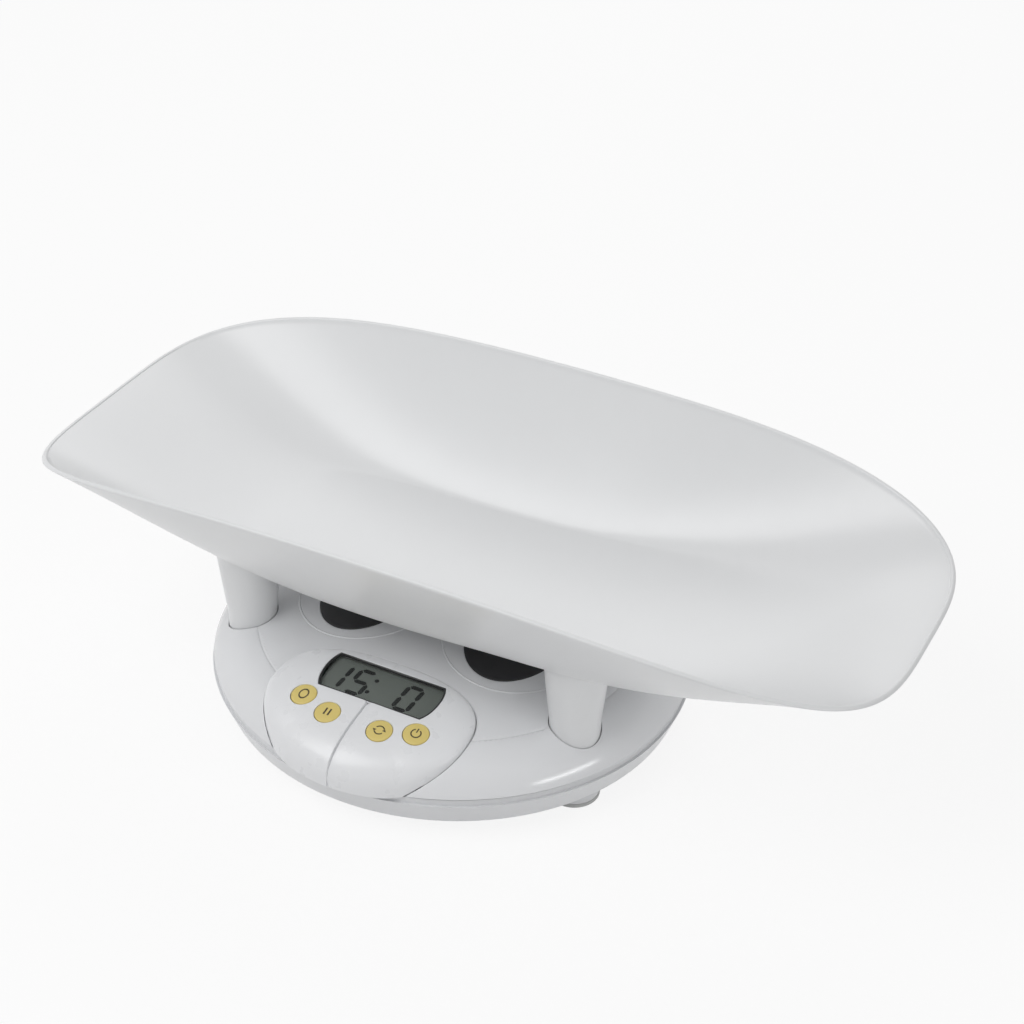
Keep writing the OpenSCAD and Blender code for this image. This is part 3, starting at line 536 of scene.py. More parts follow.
def side_ring(part, t=0.0):
    """Ring of the panel's steep side: part is 0 at its lower edge, t is how deep it lies."""
    outer = panel_outline()
    low = panel_side_z(outer[:, 0], outer[:, 1])
    p = panel_outline((1 - part**FULL) ** (1 / FULL), -t)
    z = low + (PANEL_Z - t + tan(TILT) * (p[:, 1] - PANEL_Y) - low) * part
    dip = groove_depth(p[:, 0], p[:, 1]) * (t == 0)
    share = part / side_top
    inward = np.where(p[:, 1] < PANEL_Y, dip, -dip) * (1 - share)
    return np.column_stack([p[:, 0], p[:, 1] + inward, z - dip * share])


def lip_ring(t, inward=None, rise=0.0):
    """Ring of the lower edge: a skirt inside the cover, and a turned-in lip past the seam."""
    outer, p = panel_outline(), panel_outline(1.0, -t)
    low = panel_side_z(outer[:, 0], outer[:, 1])
    r = np.hypot(outer[:, 0], outer[:, 1] / OVAL)
    nose = np.clip((r - 150) / 4, 0, 1)
    y = p[:, 1] + (2.6 if inward is None else inward) * nose
    skirt = low - 0.4 - 11 * np.clip((146 - r) / 10, 0, 1)
    z = np.where(r < 146, skirt, np.where(r < 150, np.maximum(edge_z + 0.1, low - 0.4), low + t))
    if inward is not None:
        z = low + rise * nose
        y = y + groove_depth(outer[:, 0], outer[:, 1]) * (outer[:, 1] < window_front)
    return np.column_stack([p[:, 0], y, z])


side_top = (1 - SKIRT**FULL) ** (1 / FULL)
side_parts = side_top * np.array([1, 0.85, 0.7, 0.55, 0.4, 0.28, 0.17, 0.08])
side = [side_ring(f) for f in side_parts]
side += [lip_ring(0.0, 0.0, 0.5), lip_ring(0.0, 0.12, 0.15), lip_ring(0.0, 0.5, 0.0)]
side += [lip_ring(0.0), lip_ring(panel_t)] + [side_ring(f, panel_t) for f in side_parts[::-1]]
side_points, side_faces = loft(side, capped=False)
side_faces = [f[::-1] for f in side_faces]
facing += [(0, 0, 0)] * (4 * len(side_faces))
points, faces = merged([(points, faces), (side_points, side_faces)])
points, faces, facing = weld(points, faces, facing)
points[:, 0] += base_x
panel_plastic = finish_of("panel_gloss_plastic", (233, 234, 236), 0.28)
made_piece("control_panel_white", points, faces, panel_plastic, "base", "panel_plastic",
           ["control_panel"], facing=facing)

# ---- display ----
# A grey-green liquid crystal glass on the board, under a clear window that is let into the
# panel. Plain seven-segment numbers lie on the glass.


def on_panel(points):
    """From places on the panel's slope (along, up it, out of it) to the model's frame."""
    p = np.asarray(points, float)
    y = PANEL_Y + p[:, 1] * cos(TILT) - p[:, 2] * sin(TILT)
    z = PANEL_Z + p[:, 1] * sin(TILT) + p[:, 2] * cos(TILT)
    return np.column_stack([p[:, 0] + base_x, y, z])


def slab(outline_of, levels):
    """A plate from outlines at rising heights: each level is (growth, height)."""
    points, faces = loft([at_height(outline_of(g), w) for g, w in levels])
    return on_panel(points), faces


def plain_box(a, v0, v1, soft):
    """Gives the outline, for any growth, of a rectangle with corners of radius soft."""
    def outline_of(g):
        corners, turn = [], np.linspace(0, pi / 2, 5)
        middles = [(1, v1 - soft), (-1, v1 - soft), (-1, v0 + soft), (1, v0 + soft)]
        for k, (x, v) in enumerate(middles):
            for t in turn + k * pi / 2:
                corners.append((x * (a - soft) + (soft + g) * cos(t), v + (soft + g) * sin(t)))
        return np.array(corners)
    return outline_of


window_clear = finish_of("window_clear", (60, 64, 63), 0.05, depth=0.0, spread=0.02,
                         alpha=0.12)
window_levels = [(0.8, -3.8), (0.8, -2.9), (-0.25, -2.9), (-0.25, -2.2), (-0.45, -2.0)]
made_piece("display_window_clear", *slab(lens_outline, window_levels), window_clear, "base",
           "clear_window", ["display_window"])
frame_dark = finish_of("window_frame_dark", (52, 53, 54), 0.3, grain=900, depth=0.004)
frame_levels = [(-0.06, -1.98), (-0.06, -0.62), (-0.16, -0.5), (-0.7, -0.5), (-0.85, -0.62),
                (-1.0, -1.98)]
rings = [at_height(lens_outline(g), w) for g, w in frame_levels]
points, faces = loft(rings + rings[:1], capped=False)
made_piece("display_frame_dark", on_panel(points), faces, frame_dark, "base", "switch_plastic")
LCD_TOP, LCD_T, LCD_A, LCD_B = -3.9, 2.7, 37.5, 14.6
lcd_glass = finish_of("display_grey_green", (132, 139, 133), 0.3, grain=900, depth=0.002,
                      mottle=0.05)
lcd_box = plain_box(LCD_A, lens_v - LCD_B, lens_v + LCD_B, 0.5)
lcd_levels = [(0.0, LCD_TOP - LCD_T), (0.0, LCD_TOP - 0.15), (-0.15, LCD_TOP)]
made_piece("lcd_glass_grey", *slab(lcd_box, lcd_levels), lcd_glass, "base", "display_glass",
           ["lcd_glass"])

digit_dark = finish_of("display_digits_dark", (30, 32, 31), 0.4, grain=900, depth=0.001)
DIGIT_W, DIGIT_H, BAR, BAR_GAP, LEAN = 9.4, 19.2, 2.8, 0.35, 0.08
DIGIT_LEVELS = (LCD_TOP, LCD_TOP + 0.06)
lit_bars = {"0": "abcdef", "1": "bc", "5": "acdfg"}
# each bar from one end to the other, in digit widths along and half digit heights up
bar_ends = {"a": (0, 2, 1, 2), "b": (1, 1, 1, 2), "c": (1, 0, 1, 1), "d": (0, 0, 1, 0),
            "e": (0, 0, 0, 1), "f": (0, 1, 0, 2), "g": (0, 1, 1, 1)}


def number_mark(figure, x, v):
    """The lit bars of one number: pointed bars with small gaps between them."""
    parts = []
    for bar in lit_bars[figure]:
        x0, h0, x1, h1 = bar_ends[bar]
        ends = np.array([[x0 * DIGIT_W, h0 * DIGIT_H / 2], [x1 * DIGIT_W, h1 * DIGIT_H / 2]])
        along = (ends[1] - ends[0]) / np.linalg.norm(ends[1] - ends[0])
        near, far = ends[0] + along * BAR_GAP, ends[1] - along * BAR_GAP
        tip, across = along * BAR / 2, np.array([-along[1], along[0]]) * BAR / 2
        shape = np.array([near, near + tip - across, far - tip - across, far,
                          far - tip + across, near + tip + across])
        shape[:, 0] += x + LEAN * (shape[:, 1] - DIGIT_H / 2)
        shape[:, 1] += v - DIGIT_H / 2
        parts.append(loft([at_height(shape, w) for w in DIGIT_LEVELS]))
    return parts


marks = []
for figure, x in (("1", -34.1), ("5", -19.0), ("0", 13.4)):
    marks += number_mark(figure, x, lens_v)
for v in (lens_v - 5.1, lens_v + 5.1):
    dot = ring_points(-6.3 + LEAN * (v - lens_v), v, 1.4, 1.4, 24)
    marks.append(loft([at_height(dot, w) for w in DIGIT_LEVELS]))
points, faces = merged(marks)
made_piece("display_digits", on_panel(points), faces, digit_dark, "base", "display_glass")

# ---- buttons ----
# Four round gold-tinted buttons, nearly flush with the panel, each with a printed mark: zero,
# hold, change of unit and power. A flange under the panel holds each one in.

button_gold = finish_of("button_gold", (224, 203, 122), 0.4, grain=1400, depth=0.004,
                        mottle=0.05)
print_dark = finish_of("button_print", (70, 60, 40), 0.5, grain=900, depth=0.001)
BUTTON_R, LEAN_UP, CROWN = 7.75, radians(4.5), 0.3


def key_top(key, x, v, rise=0.0):
    """Height of a button's leaning, slightly domed top over the panel's middle plane."""
    *_, depth, lean = key
    tip = Matrix.Rotation(radians(lean), 3, "Y") @ Matrix.Rotation(LEAN_UP, 3, "X")
    facing = tip @ Vector((0, 0, 1))
    r2 = (x**2 + v**2) / BUTTON_R**2
    return depth - (facing[0] * x + facing[1] * v) / facing[2] + CROWN * (1 - r2) - CROWN + rise


# printed marks: ring (inner and outer radius, turns, how tall), bar (place, size) or arrow tip
key_marks = {
    "zero": [("ring", 2.3, 3.1, 0.0, 2 * pi, 1.25)],
    "hold": [("bar", -1.35, 0.0, 1.1, 5.0), ("bar", 1.35, 0.0, 1.1, 5.0)],
    "unit": [("ring", 2.5, 3.3, 0.5, 2.64, 1.0), ("ring", 2.5, 3.3, 3.64, 5.78, 1.0),
             ("tip", 3.0, 0.0, 1.0), ("tip", -3.0, 0.0, -1.0)],
    "power": [("ring", 2.5, 3.3, 2.1, 7.33, 1.0), ("bar", 0.0, 2.1, 0.8, 3.2)],
}


def mark_mesh(key, shapes):
    """Thin printed shapes that lie on a button's top."""
    kx, kv, *_ = key
    parts = []
    for kind, *sizes in shapes:
        if kind == "ring":
            r0, r1, a0, a1, tall = sizes
            t = np.linspace(a0, a1, 36)
            strip = [np.column_stack([r * np.cos(t), tall * r * np.sin(t)]) for r in (r0, r1)]
            flat = np.vstack([strip[0], strip[1][::-1]])
            n = len(t)
            cells = [(i, i + 1, 2 * n - 2 - i, 2 * n - 1 - i) for i in range(n - 1)]
        elif kind == "bar":
            x, v, w, h = sizes
            flat = [(x + i * w / 2, v + j * h / 2) for i, j in ((-1, -1), (1, -1), (1, 1), (-1, 1))]
            cells = [(0, 1, 2, 3)]
        else:
            x, v, way = sizes
            flat = [(x - 1.3, v), (x + 1.3, v), (x, v + 1.5 * way)]
            cells = [(0, 1, 2)]
        for rise, step in ((0.05, 1), (0.0, -1)):
            top = np.array([(kx + x, kv + v, key_top(key, x, v, rise)) for x, v in flat])
            parts.append((top, [cell[::step] for cell in cells]))
    return merged(parts)


flange = [(3.0, -5.3), (8.7, -5.3), (8.85, -5.15), (8.85, -4.45), (8.7, -4.3), (BUTTON_R, -4.3)]
button_edge = ((0.0, 1.0), (0.0, 0.7), (0.05, 0.45), (0.2, 0.22), (0.45, 0.07), (0.8, 0.0))
crown = [(BUTTON_R - inset, drop) for inset, drop in button_edge]
crown += [(r, 0.0) for r in (5.5, 3.5, 1.5)]
for key, (name, shapes) in zip(keys, key_marks.items()):
    kx, kv = key[:2]
    rings = turned(flange, kx, kv, 64)
    for r, drop in crown:
        flat = ring_points(0, 0, r, r, 64)
        top = [key_top(key, x, v, -drop) for x, v in flat]
        rings.append(np.column_stack([flat[:, 0] + kx, flat[:, 1] + kv, top]))
    points, faces = loft(rings)
    made_piece(name + "_button_gold", on_panel(points), faces, button_gold, name + "_key",
               "button_plastic", [name + "_button"])
    points, faces = mark_mesh(key, shapes)
    made_piece(name + "_button_mark", on_panel(points), faces, print_dark, name + "_key",
               "button_plastic")

# ---- pads ----
# Two oval non-slip pads of black rubber, let into shallow places in the dome, each inside a
# fine raised line that is moulded with the cover.

pad_rubber = finish_of("pad_rubber_black", (40, 40, 42), 0.6, grain=700, depth=0.03,
                       mottle=0.12)
PAD_A, PAD_B = 30.5, 46.0


def oval_on_dome(cx, cy, a, b, rise):
    x, y = ring_points(cx, cy, a, b, 96).T
    return np.column_stack([x + base_x, y, cover_z(x, y) + rise])


for name, (px, py) in zip(("left_pad", "right_pad"), pad_middles):
    rings = [oval_on_dome(px, py, PAD_A * k, PAD_B * k, -0.9) for k in (0.3, 0.7, 0.98)]
    for inset, rise in ((0, -0.9), (0, -0.4), (0, 0.0), (0.08, 0.15), (0.25, 0.3), (0.5, 0.38)):
        rings.append(oval_on_dome(px, py, PAD_A - inset, PAD_B - inset, rise))
    rings += [oval_on_dome(px, py, PAD_A * k, PAD_B * k, 0.4)
              for k in (0.95, 0.85, 0.7, 0.55, 0.4, 0.25, 0.1)]
    made_piece(name + "_rubber", *loft(rings), pad_rubber, "base", "pad_rubber", [name])


class Term:
    """A value that nodes work out, so that a rule can be written as plain sums."""

    def __init__(self, tree, output):
        self.tree, self.output = tree, output

    def work(self, kind, *others):
        node = self.tree.nodes.new("ShaderNodeMath")
        node.operation = kind
        for socket, value in zip(node.inputs, (self, *others)):
            if isinstance(value, Term):
                self.tree.links.new(value.output, socket)
            else:
                socket.default_value = value
        return Term(self.tree, node.outputs[0])

    def __rsub__(self, other):
        return self * -1.0 + other


for sign, kind in (("add", "ADD"), ("radd", "ADD"), ("sub", "SUBTRACT"), ("mul", "MULTIPLY"),
                   ("rmul", "MULTIPLY"), ("truediv", "DIVIDE"), ("pow", "POWER")):
    setattr(Term, f"__{sign}__", lambda term, other, kind=kind: term.work(kind, other))


def new_tree(name, sizes):
    """A Geometry Nodes tree with a named input for each size."""
    tree = bpy.data.node_groups.new(name, "GeometryNodeTree")
    tree.interface.new_socket("Geometry", in_out="OUTPUT", socket_type="NodeSocketGeometry")
    for label, value in sizes.items():
        socket = tree.interface.new_socket(label, in_out="INPUT", socket_type="NodeSocketFloat")
        socket.default_value = value
    inputs = tree.nodes.new("NodeGroupInput")
    return tree, {label: Term(tree, inputs.outputs[label]) for label in sizes}


def end_tree(tree, geometry, material):
    """Ends a tree with real geometry and its material."""
    real = tree.nodes.new("GeometryNodeRealizeInstances")
    paint_it = tree.nodes.new("GeometryNodeSetMaterial")
    put(paint_it, Material=material)
    out = tree.nodes.new("NodeGroupOutput")
    tree.links.new(geometry, real.inputs["Geometry"])
    tree.links.new(real.outputs["Geometry"], paint_it.inputs["Geometry"])
    tree.links.new(paint_it.outputs["Geometry"], out.inputs["Geometry"])


def grown(name, tree, sizes, places=()):
    """Runs a tree with its sizes and places and returns the points in millimetres and the faces."""
    seed_mesh = placed(name + "_seed", bpy.data.meshes.new(name + "_seed"))
    seed_mesh.data.from_pydata((np.array(places) * MM).tolist(), [], [])
    modifier = seed_mesh.modifiers.new("shape", "NODES")
    modifier.node_group = tree
    for item in tree.interface.items_tree:
        if item.in_out == "INPUT" and item.name in sizes:
            modifier[item.identifier] = sizes[item.name]
    evaluated = seed_mesh.evaluated_get(bpy.context.evaluated_depsgraph_get())
    mesh = bpy.data.meshes.new_from_object(evaluated)
    seed_mesh.modifiers.remove(modifier)
    bpy.data.objects.remove(seed_mesh)
    return np.array([v.co for v in mesh.vertices]) / MM, [tuple(p.vertices) for p in mesh.polygons]


def bent_grid(tree, columns, rows):
    """A grid for a tree to bend, with the place along it (to columns) and across it (to rows)."""
    grid = tree.nodes.new("GeometryNodeMeshGrid")
    put(grid, Size_X=columns, Size_Y=rows, Vertices_X=columns + 1, Vertices_Y=rows + 1)
    where = tree.nodes.new("ShaderNodeSeparateXYZ")
    tree.links.new(tree.nodes.new("GeometryNodeInputPosition").outputs[0], where.inputs[0])
    return grid, Term(tree, where.outputs[0]) + columns / 2, Term(tree, where.outputs[1]) + rows / 2


def bend_grid(tree, grid, x, y, z):
    """Moves the grid's points to a place in millimetres and joins the edges that meet."""
    joined = tree.nodes.new("ShaderNodeCombineXYZ")
    for socket, value in zip(joined.inputs, (x * MM, y * MM, z * MM)):
        tree.links.new(value.output, socket)
    shaped = tree.nodes.new("GeometryNodeSetPosition")
    tree.links.new(grid.outputs["Mesh"], shaped.inputs["Geometry"])
    tree.links.new(joined.outputs[0], shaped.inputs["Position"])
    welded = tree.nodes.new("GeometryNodeMergeByDistance")
    put(welded, Distance=1e-6)
    tree.links.new(shaped.outputs["Geometry"], welded.inputs["Geometry"])
    return welded.outputs["Geometry"]


LINE_STEPS, LINE_ROUND = 180, 12
line_sizes = {"Middle X": 0.0, "Middle Y": -5.0, "Half length": 46.4, "Half width": 53.4,
              "Line width": 1.3, "Line height": 0.5}
tree, size = new_tree("pad_line_rule", line_sizes)
grid, along, across = bent_grid(tree, LINE_STEPS, LINE_ROUND)
turn, roll = along * (2 * pi / LINE_STEPS), across * (2 * pi / LINE_ROUND)
out = size["Line width"] * 0.5 * roll.work("COSINE")
x = size["Middle X"] + (size["Half length"] + out) * turn.work("COSINE")
y = size["Middle Y"] + (size["Half width"] + out) * turn.work("SINE")
y_wide = y * (1 / OVAL)
dome = (DOME_R**2 - x * x - y_wide * y_wide) ** 0.5 + (DOME_Z - DOME_R)
z = dome + size["Line height"] * roll.work("SINE")
end_tree(tree, bend_grid(tree, grid, x + base_x, y, z), white_plastic)
lines = [grown("pad_line", tree, {**line_sizes, "Middle X": px, "Middle Y": py})
         for px, py in pad_middles]
made_piece("pad_lines_white", *merged(lines), white_plastic, "base", "white_plastic", sharp=60)

# ---- tray ----
# The long curved tray, one thin moulding with a rounded rim. Its shape follows one rule: a
# rounded outline, a trough for a floor, and a wall that turns up from the floor to a dipping rim.

tray_sizes = {"Foot length": 234.0, "Head length": 312.4, "Half width": 121.9, "Rim height": 171.6,
              "Floor height": 89.1, "Floor break": 0.537, "Thickness": 2.8}
HEAD_SQUARE, FOOT_LESS = 4.65, 0.95  # squareness of the outline, and how much less at the foot end
TAPER, PINCH = 0.008, 0.015  # how the width falls off towards the ends
RIM_DIP = (4.2, 14.6, 8.6, 19.1)  # how the rim dips towards the ends, by rising powers of u
LOW_POINT, SLOPE, TROUGH = 41.5, 0.0388, 0.000495  # the floor's lowest place, slope and curve
SIDE_BEND, HEAD_BEND, FOOT_MORE = 1.29, 1.68, 1.76  # how late the wall turns up on each side
tree, size = new_tree("tray_rule", tray_sizes)
ROUND_STEPS, SKIN_STEPS, RIM_STEPS = 288, 84, 8
levels = 2 * SKIN_STEPS + RIM_STEPS
grid, along, level = bent_grid(tree, ROUND_STEPS, levels)
turn = along * (2 * pi / ROUND_STEPS)
cosine, sine = turn.work("COSINE"), turn.work("SINE")
foot_side = cosine.work("GREATER_THAN", 0.0)
out_part = (level / SKIN_STEPS).work("MINIMUM", 1.0)
from_inside = level * -1.0 + levels
back_part = (from_inside / SKIN_STEPS).work("MINIMUM", 1.0)
s_part = out_part.work("MINIMUM", back_part)
rim_part = ((level - SKIN_STEPS) / RIM_STEPS).work("MAXIMUM", 0.0)
edge_turn = rim_part.work("MINIMUM", 1.0) * pi
inset = size["Thickness"] * 0.5 * (1.0 - edge_turn.work("COSINE"))
inner_lift = size["Thickness"] * (level.work("GREATER_THAN", SKIN_STEPS + RIM_STEPS / 2))
squareness = HEAD_SQUARE - foot_side * FOOT_LESS
k = cosine.work("ABSOLUTE") ** squareness + sine.work("ABSOLUTE") ** squareness
k = k ** (squareness**-1.0 * -1.0)
tray_middle = (size["Head length"] - size["Foot length"]) * 0.5
half_length = (size["Head length"] + size["Foot length"]) * 0.5
reach = size["Head length"] + foot_side * (size["Foot length"] - size["Head length"])
rim_x = tray_middle + (reach - inset) * k * cosine
u = (rim_x - tray_middle) / half_length
rim_y = (size["Half width"] - inset) * (1.0 - u * TAPER - u * u * PINCH) * k * sine
rim_z = size["Rim height"] - u * RIM_DIP[0] - u * u * RIM_DIP[1]
rim_z = rim_z - u * u * u * RIM_DIP[2] - u * u * u * u * RIM_DIP[3]
floor_x = tray_middle - LOW_POINT
x = floor_x + s_part * (rim_x - floor_x)
y = s_part * rim_y
d = x - floor_x
floor_z = size["Floor height"] + inner_lift + d * SLOPE + d * d * TROUGH
across = sine * sine
bend = across * SIDE_BEND + (HEAD_BEND + foot_side * FOOT_MORE) * (1.0 - across)
climb = (s_part - size["Floor break"]) / (1.0 - size["Floor break"])
climb = climb.work("MAXIMUM", 0.0) ** bend
rim_round = edge_turn.work("SINE") * 1.4 - 0.5 * climb
z = floor_z + (rim_z - floor_z) * climb + rim_round
tray_plastic = finish_of("tray_gloss_plastic", (230, 231, 232), 0.3)
end_tree(tree, bend_grid(tree, grid, x, y, z), tray_plastic)
shell_points, shell_faces = grown("tray", tree, tray_sizes)
under_tray = BVHTree.FromPolygons([tuple(p) for p in shell_points], shell_faces)


def under_at(x, y):
    """Height of the tray's underside over a place."""
    return under_tray.ray_cast(Vector((x, y, 40.0)), Vector((0, 0, 1)))[0].z


parts = [(shell_points, shell_faces)]
PEG_R, PEG_TOP, PEG_LOW, LEG_DRAFT, FLARE_R, LEG_STEPS = 15.2, 54.0, 38.1, 0.1, 19.5, 96
peg = [(12.4, 87.0), (12.4, 38.4), (12.7, PEG_LOW), (14.8, PEG_LOW), (15.1, 38.3), (PEG_R, 38.6),
       (PEG_R, PEG_TOP)]
for lx, ly in legs:
    lx += base_x
    c, s = around(LEG_STEPS)
    rings = turned(peg, lx, ly, LEG_STEPS)
    low = np.array([under_at(lx + FLARE_R * u, ly + FLARE_R * v) for u, v in zip(c, s)])
    for share in (0.2, 0.4, 0.6, 0.8, 0.95):
        z = PEG_TOP + share * (low - 2.5 - PEG_TOP)
        r = PEG_R + LEG_DRAFT * (z - PEG_TOP)
        rings.append(np.column_stack([lx + r * c, ly + r * s, z]))
    for swell, drop in ((0.1, 1.9), (0.35, 1.2), (0.8, 0.6), (1.4, 0.2), (1.9, -0.6)):
        r = PEG_R + LEG_DRAFT * (low - drop - PEG_TOP) + swell
        top_z = np.array([under_at(lx + q * u, ly + q * v) for q, u, v in zip(r, c, s)])
        rings.append(np.column_stack([lx + r * c, ly + r * s, top_z - drop]))
    for q in (15.0, 10.0, 5.0, 1.0):
        inner = ring_points(lx, ly, q, q, LEG_STEPS)
        rings.append([(x, y, under_at(x, y) + 0.6) for x, y in inner])
    parts.append(loft(rings))
made_piece("tray_white", *merged(parts), tray_plastic, "tray", "tray_plastic", ["tray"], sharp=50)

# ---- case screws and door ridges ----
# Six steel screws with crossed slots hold the two halves of the base together from below. The
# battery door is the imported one, with moulded ridges beside its latch for the thumb.

screw_steel = finish_of("screw_zinc", (196, 198, 202), 0.3, metal=1.0, grain=1200, depth=0.003)
SCREW_R, HEAD_Z, HEAD_TOP, SLOT_LOW = 3.0, 15.9, 2.6, 0.9
arm, half = 1.8, 0.55  # the crossed slot, from its middle


def screw_zone(x, y):
    """1 on the head, 2 in its crossed slot."""
    along, across = np.abs(x), np.abs(y)
    cross = ((along < half) & (across < arm)) | ((across < half) & (along < arm))
    return np.where(cross, 2, np.where(np.hypot(x, y) < SCREW_R, 1, 0))


def screw_head(x, y):
    return HEAD_TOP - 0.9 * (np.hypot(x, y) / SCREW_R) ** 2.5


def lone_shape(name, points, faces):
    """An object that only lends its shape to the copies made of it."""
    mesh = bpy.data.meshes.new(name)
    mesh.from_pydata((np.array(points) * MM).tolist(), [], faces)
    return bpy.data.objects.new(name, mesh)


cross, quarter = [], [(arm, half), (half, half), (half, arm)]
for _ in range(4):
    cross += quarter
    quarter = [(-y, x) for x, y in quarter]
head_rings = [ring_points(0, 0, r, r, 40) for r in (SCREW_R, 2.75, 2.3)]
screw_unders = {zone: lambda x, y: 0.0 for zone in (1, 2)}
points, faces, _ = plan_mesh([(0.0, 0.0)], head_rings + [cross], screw_zone,
                             {1: screw_head, 2: lambda x, y: SLOT_LOW}, screw_unders, {})
shank = loft(turned([(1.45, 0.0), (1.45, -17.4), (0.9, -18.0)], count=32))
points, faces = merged([(points, faces), shank])
points[:, 1:] *= -1
screw_shape = lone_shape("one_screw", points, faces)


def spread_out(name, shape, places, material, size=1.0):
    """Copies of a shape at its places, by Geometry Nodes, as points and faces."""
    tree, inputs = new_tree(name, {"Size": size})
    geometry = tree.interface.new_socket("Places", in_out="INPUT", socket_type="NodeSocketGeometry")
    tree.interface.move(geometry, 0)
    start = next(n for n in tree.nodes if n.type == "GROUP_INPUT")
    source = tree.nodes.new("GeometryNodeObjectInfo")
    put(source, Object=shape)
    copies = tree.nodes.new("GeometryNodeInstanceOnPoints")
    tree.links.new(start.outputs["Places"], copies.inputs["Points"])
    tree.links.new(source.outputs["Geometry"], copies.inputs["Instance"])
    tree.links.new(inputs["Size"].output, copies.inputs["Scale"])
    end_tree(tree, copies.outputs["Instances"], material)
    return grown(name, tree, {"Size": size}, places)


screw_places = [(i * 88.0 + base_x, j * 96.0, HEAD_Z) for i in (-1, 1) for j in (-1, 1)]
screw_places += [(i * 134.0 + base_x, 0.0, HEAD_Z) for i in (-1, 1)]
made_piece("case_screws_steel", *spread_out("screw_rule", screw_shape, screw_places, screw_steel),
           screw_steel, "base", "screw_steel", ["case_screws"], sharp=30)

ridge_side = ((-0.55, 0.1), (-0.3, -0.45), (0.3, -0.45), (0.55, 0.1))
ridge_shape = lone_shape("one_ridge", *loft([[(x, y, z) for y, z in ridge_side] for x in (-7, 7)]))
ridge_places = [(base_x, 20.0 + 1.9 * k, 10.0) for k in range(6)]
shell_plastic = finish_of("shell_white_plastic", (222, 223, 225), 0.3, grain=900, depth=0.004)
made_piece("door_ridges_white", *spread_out("ridge_rule", ridge_shape, ridge_places, shell_plastic),
           shell_plastic, "door", "white_plastic", sharp=30)
for shape in (screw_shape, ridge_shape):
    bpy.data.objects.remove(shape)

# ---- parts that stay as they were drawn ----
# The lower shell, the battery door, and everything inside the base keep the shape of the
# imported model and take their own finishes.

finishes = {
    "white_plastic": shell_plastic,
    "board_laminate": finish_of("board_green", (34, 92, 58), 0.42, grain=700, depth=0.004,
                                 mottle=0.15),
    "switch_plastic": finish_of("switch_black", (38, 38, 40), 0.5, grain=900),
    "holder_plastic": finish_of("holder_grey", (196, 198, 200), 0.45, grain=900),
    "screw_steel": screw_steel,
    "contact_steel": finish_of("contact_nickel", (206, 208, 212), 0.25, metal=1.0, grain=900,
                               depth=0.003),
    "cell_steel": finish_of("plate_ground_steel", (176, 178, 182), 0.36, metal=1.0, grain=500),
    "cell_jacket": finish_of("cell_film", (62, 68, 78), 0.32, metal=0.3, grain=500, mottle=0.1),
    "lead_sleeve": finish_of("lead_sleeve_black", (46, 46, 50), 0.55, grain=900),
    "strip_rubber": finish_of("strip_rubber_pink", (214, 150, 160), 0.6, grain=900),
}
slots = {row["node"]: row["material_slot"] for row in frame["record"]["subparts"]}
for node, thing in frame["nodes"].items():
    if slots[node] in finishes:
        if not thing.material_slots:
            thing.data.materials.append(finishes[slots[node]])
        for place in thing.material_slots:
            place.material = finishes[slots[node]]

# ---- floor, light and camera ----
# A plain pale floor and a white surround, a soft key lamp in front, a narrow lamp at the right
# for the streak on the cover, a soft lamp behind, and the camera at the photograph's angle.


def seen_share(tree):
    """1 for what the camera sees straight, in a reflection or through a window, otherwise 0."""
    path = tree.nodes.new("ShaderNodeLightPath")
    straight, glossy, through = (Term(tree, path.outputs["Is " + ray + " Ray"])
                                 for ray in ("Camera", "Glossy", "Transmission"))
    return straight.work("MAXIMUM", glossy).work("MAXIMUM", through)


FLOOR_HALF, FLOOR_WHITE, SOFT_LIGHT = 6, 0.87, 0.36
floor_mesh = bpy.data.meshes.new("floor")
floor_mesh.from_pydata([(i * FLOOR_HALF, j * FLOOR_HALF, 0)
                        for i, j in ((-1, -1), (1, -1), (1, 1), (-1, 1))], [], [(0, 1, 2, 3)])
floor = placed("floor", floor_mesh)

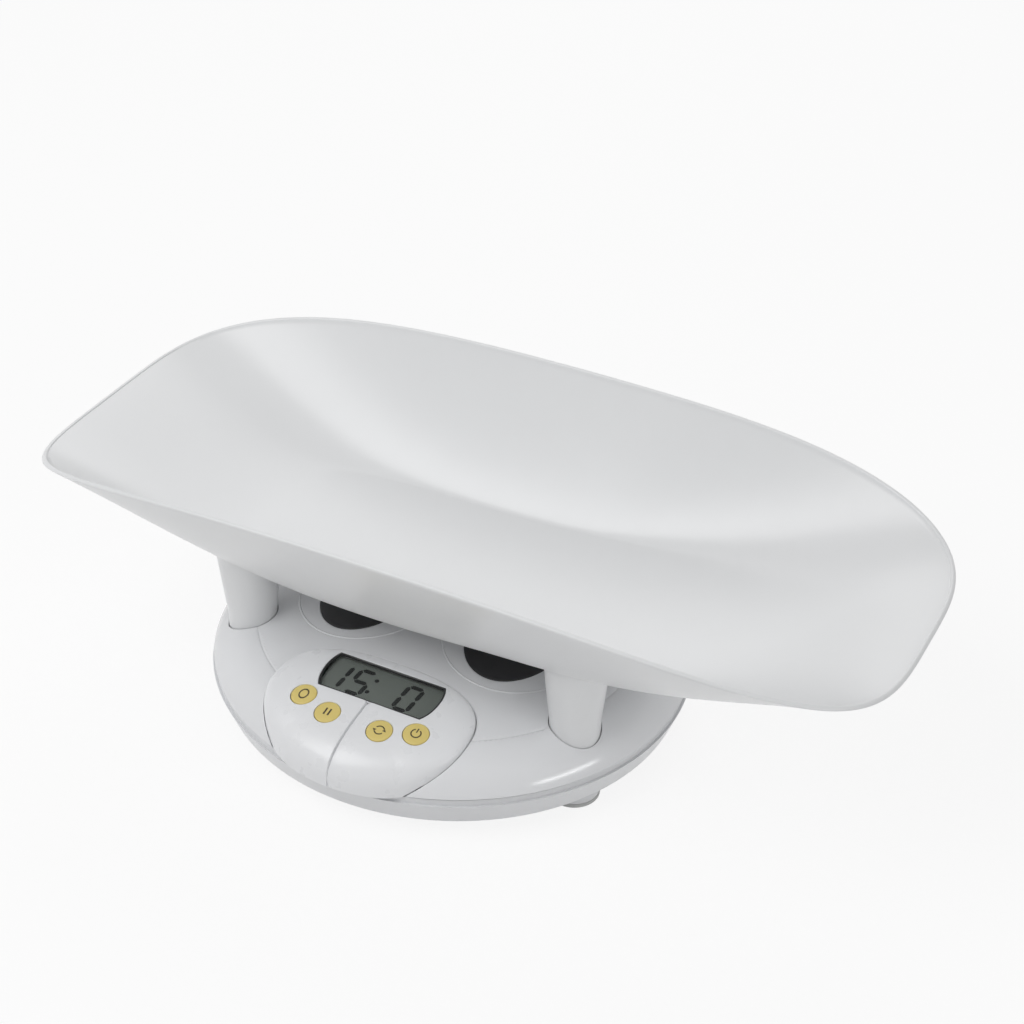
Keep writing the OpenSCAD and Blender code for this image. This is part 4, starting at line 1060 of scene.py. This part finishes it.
floor_paint = bpy.data.materials.new("floor_white")
floor_paint.use_nodes = True
nodes, links = floor_paint.node_tree.nodes, floor_paint.node_tree.links
matt = nodes["Principled BSDF"]
put(matt, Base_Color=paint(244, 244, 244), Roughness=0.9)
white_share = seen_share(floor_paint.node_tree) * FLOOR_WHITE
mixed = nodes.new("ShaderNodeMixShader")
for socket, source in zip(mixed.inputs, (white_share.output, matt.outputs[0],
                                         nodes.new("ShaderNodeEmission").outputs[0])):
    links.new(source, socket)
links.new(mixed.outputs[0], nodes["Material Output"].inputs["Surface"])
floor_mesh.materials.append(floor_paint)

world = bpy.data.worlds.new("studio")
bpy.context.scene.world = world
world.use_nodes = True
strength = seen_share(world.node_tree) * (1 - SOFT_LIGHT) + SOFT_LIGHT
white = world.node_tree.nodes["Background"]
put(white, Color=(1, 1, 1, 1))
world.node_tree.links.new(strength.output, white.inputs["Strength"])


def lamp(name, place, target, size, watts):
    """A rectangular lamp at a place, turned to a target."""
    light = bpy.data.lights.new(name, "AREA")
    light.shape, light.energy = "RECTANGLE", watts
    light.size, light.size_y = size
    thing = placed(name, light)
    thing.location = place
    thing.rotation_euler = (Vector(target) - Vector(place)).to_track_quat("-Z", "Y").to_euler()


lamp("key_box", (-0.85, -1.05, 1.75), (0.0, 0.0, 0.1), (1.3, 1.3), 20)
lamp("side_strip", (2.35, -0.65, 0.93), (0.05, -0.05, 0.05), (1.3, 0.26), 9)
lamp("back_box", (-0.6, 1.7, 1.5), (0.0, 0.0, 0.1), (1.4, 1.4), 9)

azimuth, elevation, roll = 0.4735, 0.6046, 0.0122
cos_a, sin_a, cos_e, sin_e = cos(azimuth), sin(azimuth), cos(elevation), sin(elevation)
right = Vector((cos_a, sin_a, 0))
ahead = Vector((-sin_a * cos_e, cos_a * cos_e, -sin_e))
above = Vector((-sin_a * sin_e, cos_a * sin_e, cos_e))
side = cos(roll) * right + sin(roll) * above
top = -sin(roll) * right + cos(roll) * above
camera = placed("camera", bpy.data.cameras.new("camera"))
camera.data.lens, camera.data.sensor_width = 73.07, 36.0
camera.data.clip_start, camera.data.clip_end = 0.05, 30.0
turned_to = Matrix((side, top, -ahead)).transposed()
camera.matrix_world = Matrix.Translation((0.4750, -0.8917, 0.8349)) @ turned_to.to_4x4()
bpy.context.scene.camera = camera
bpy.context.scene.view_settings.view_transform = "Standard"
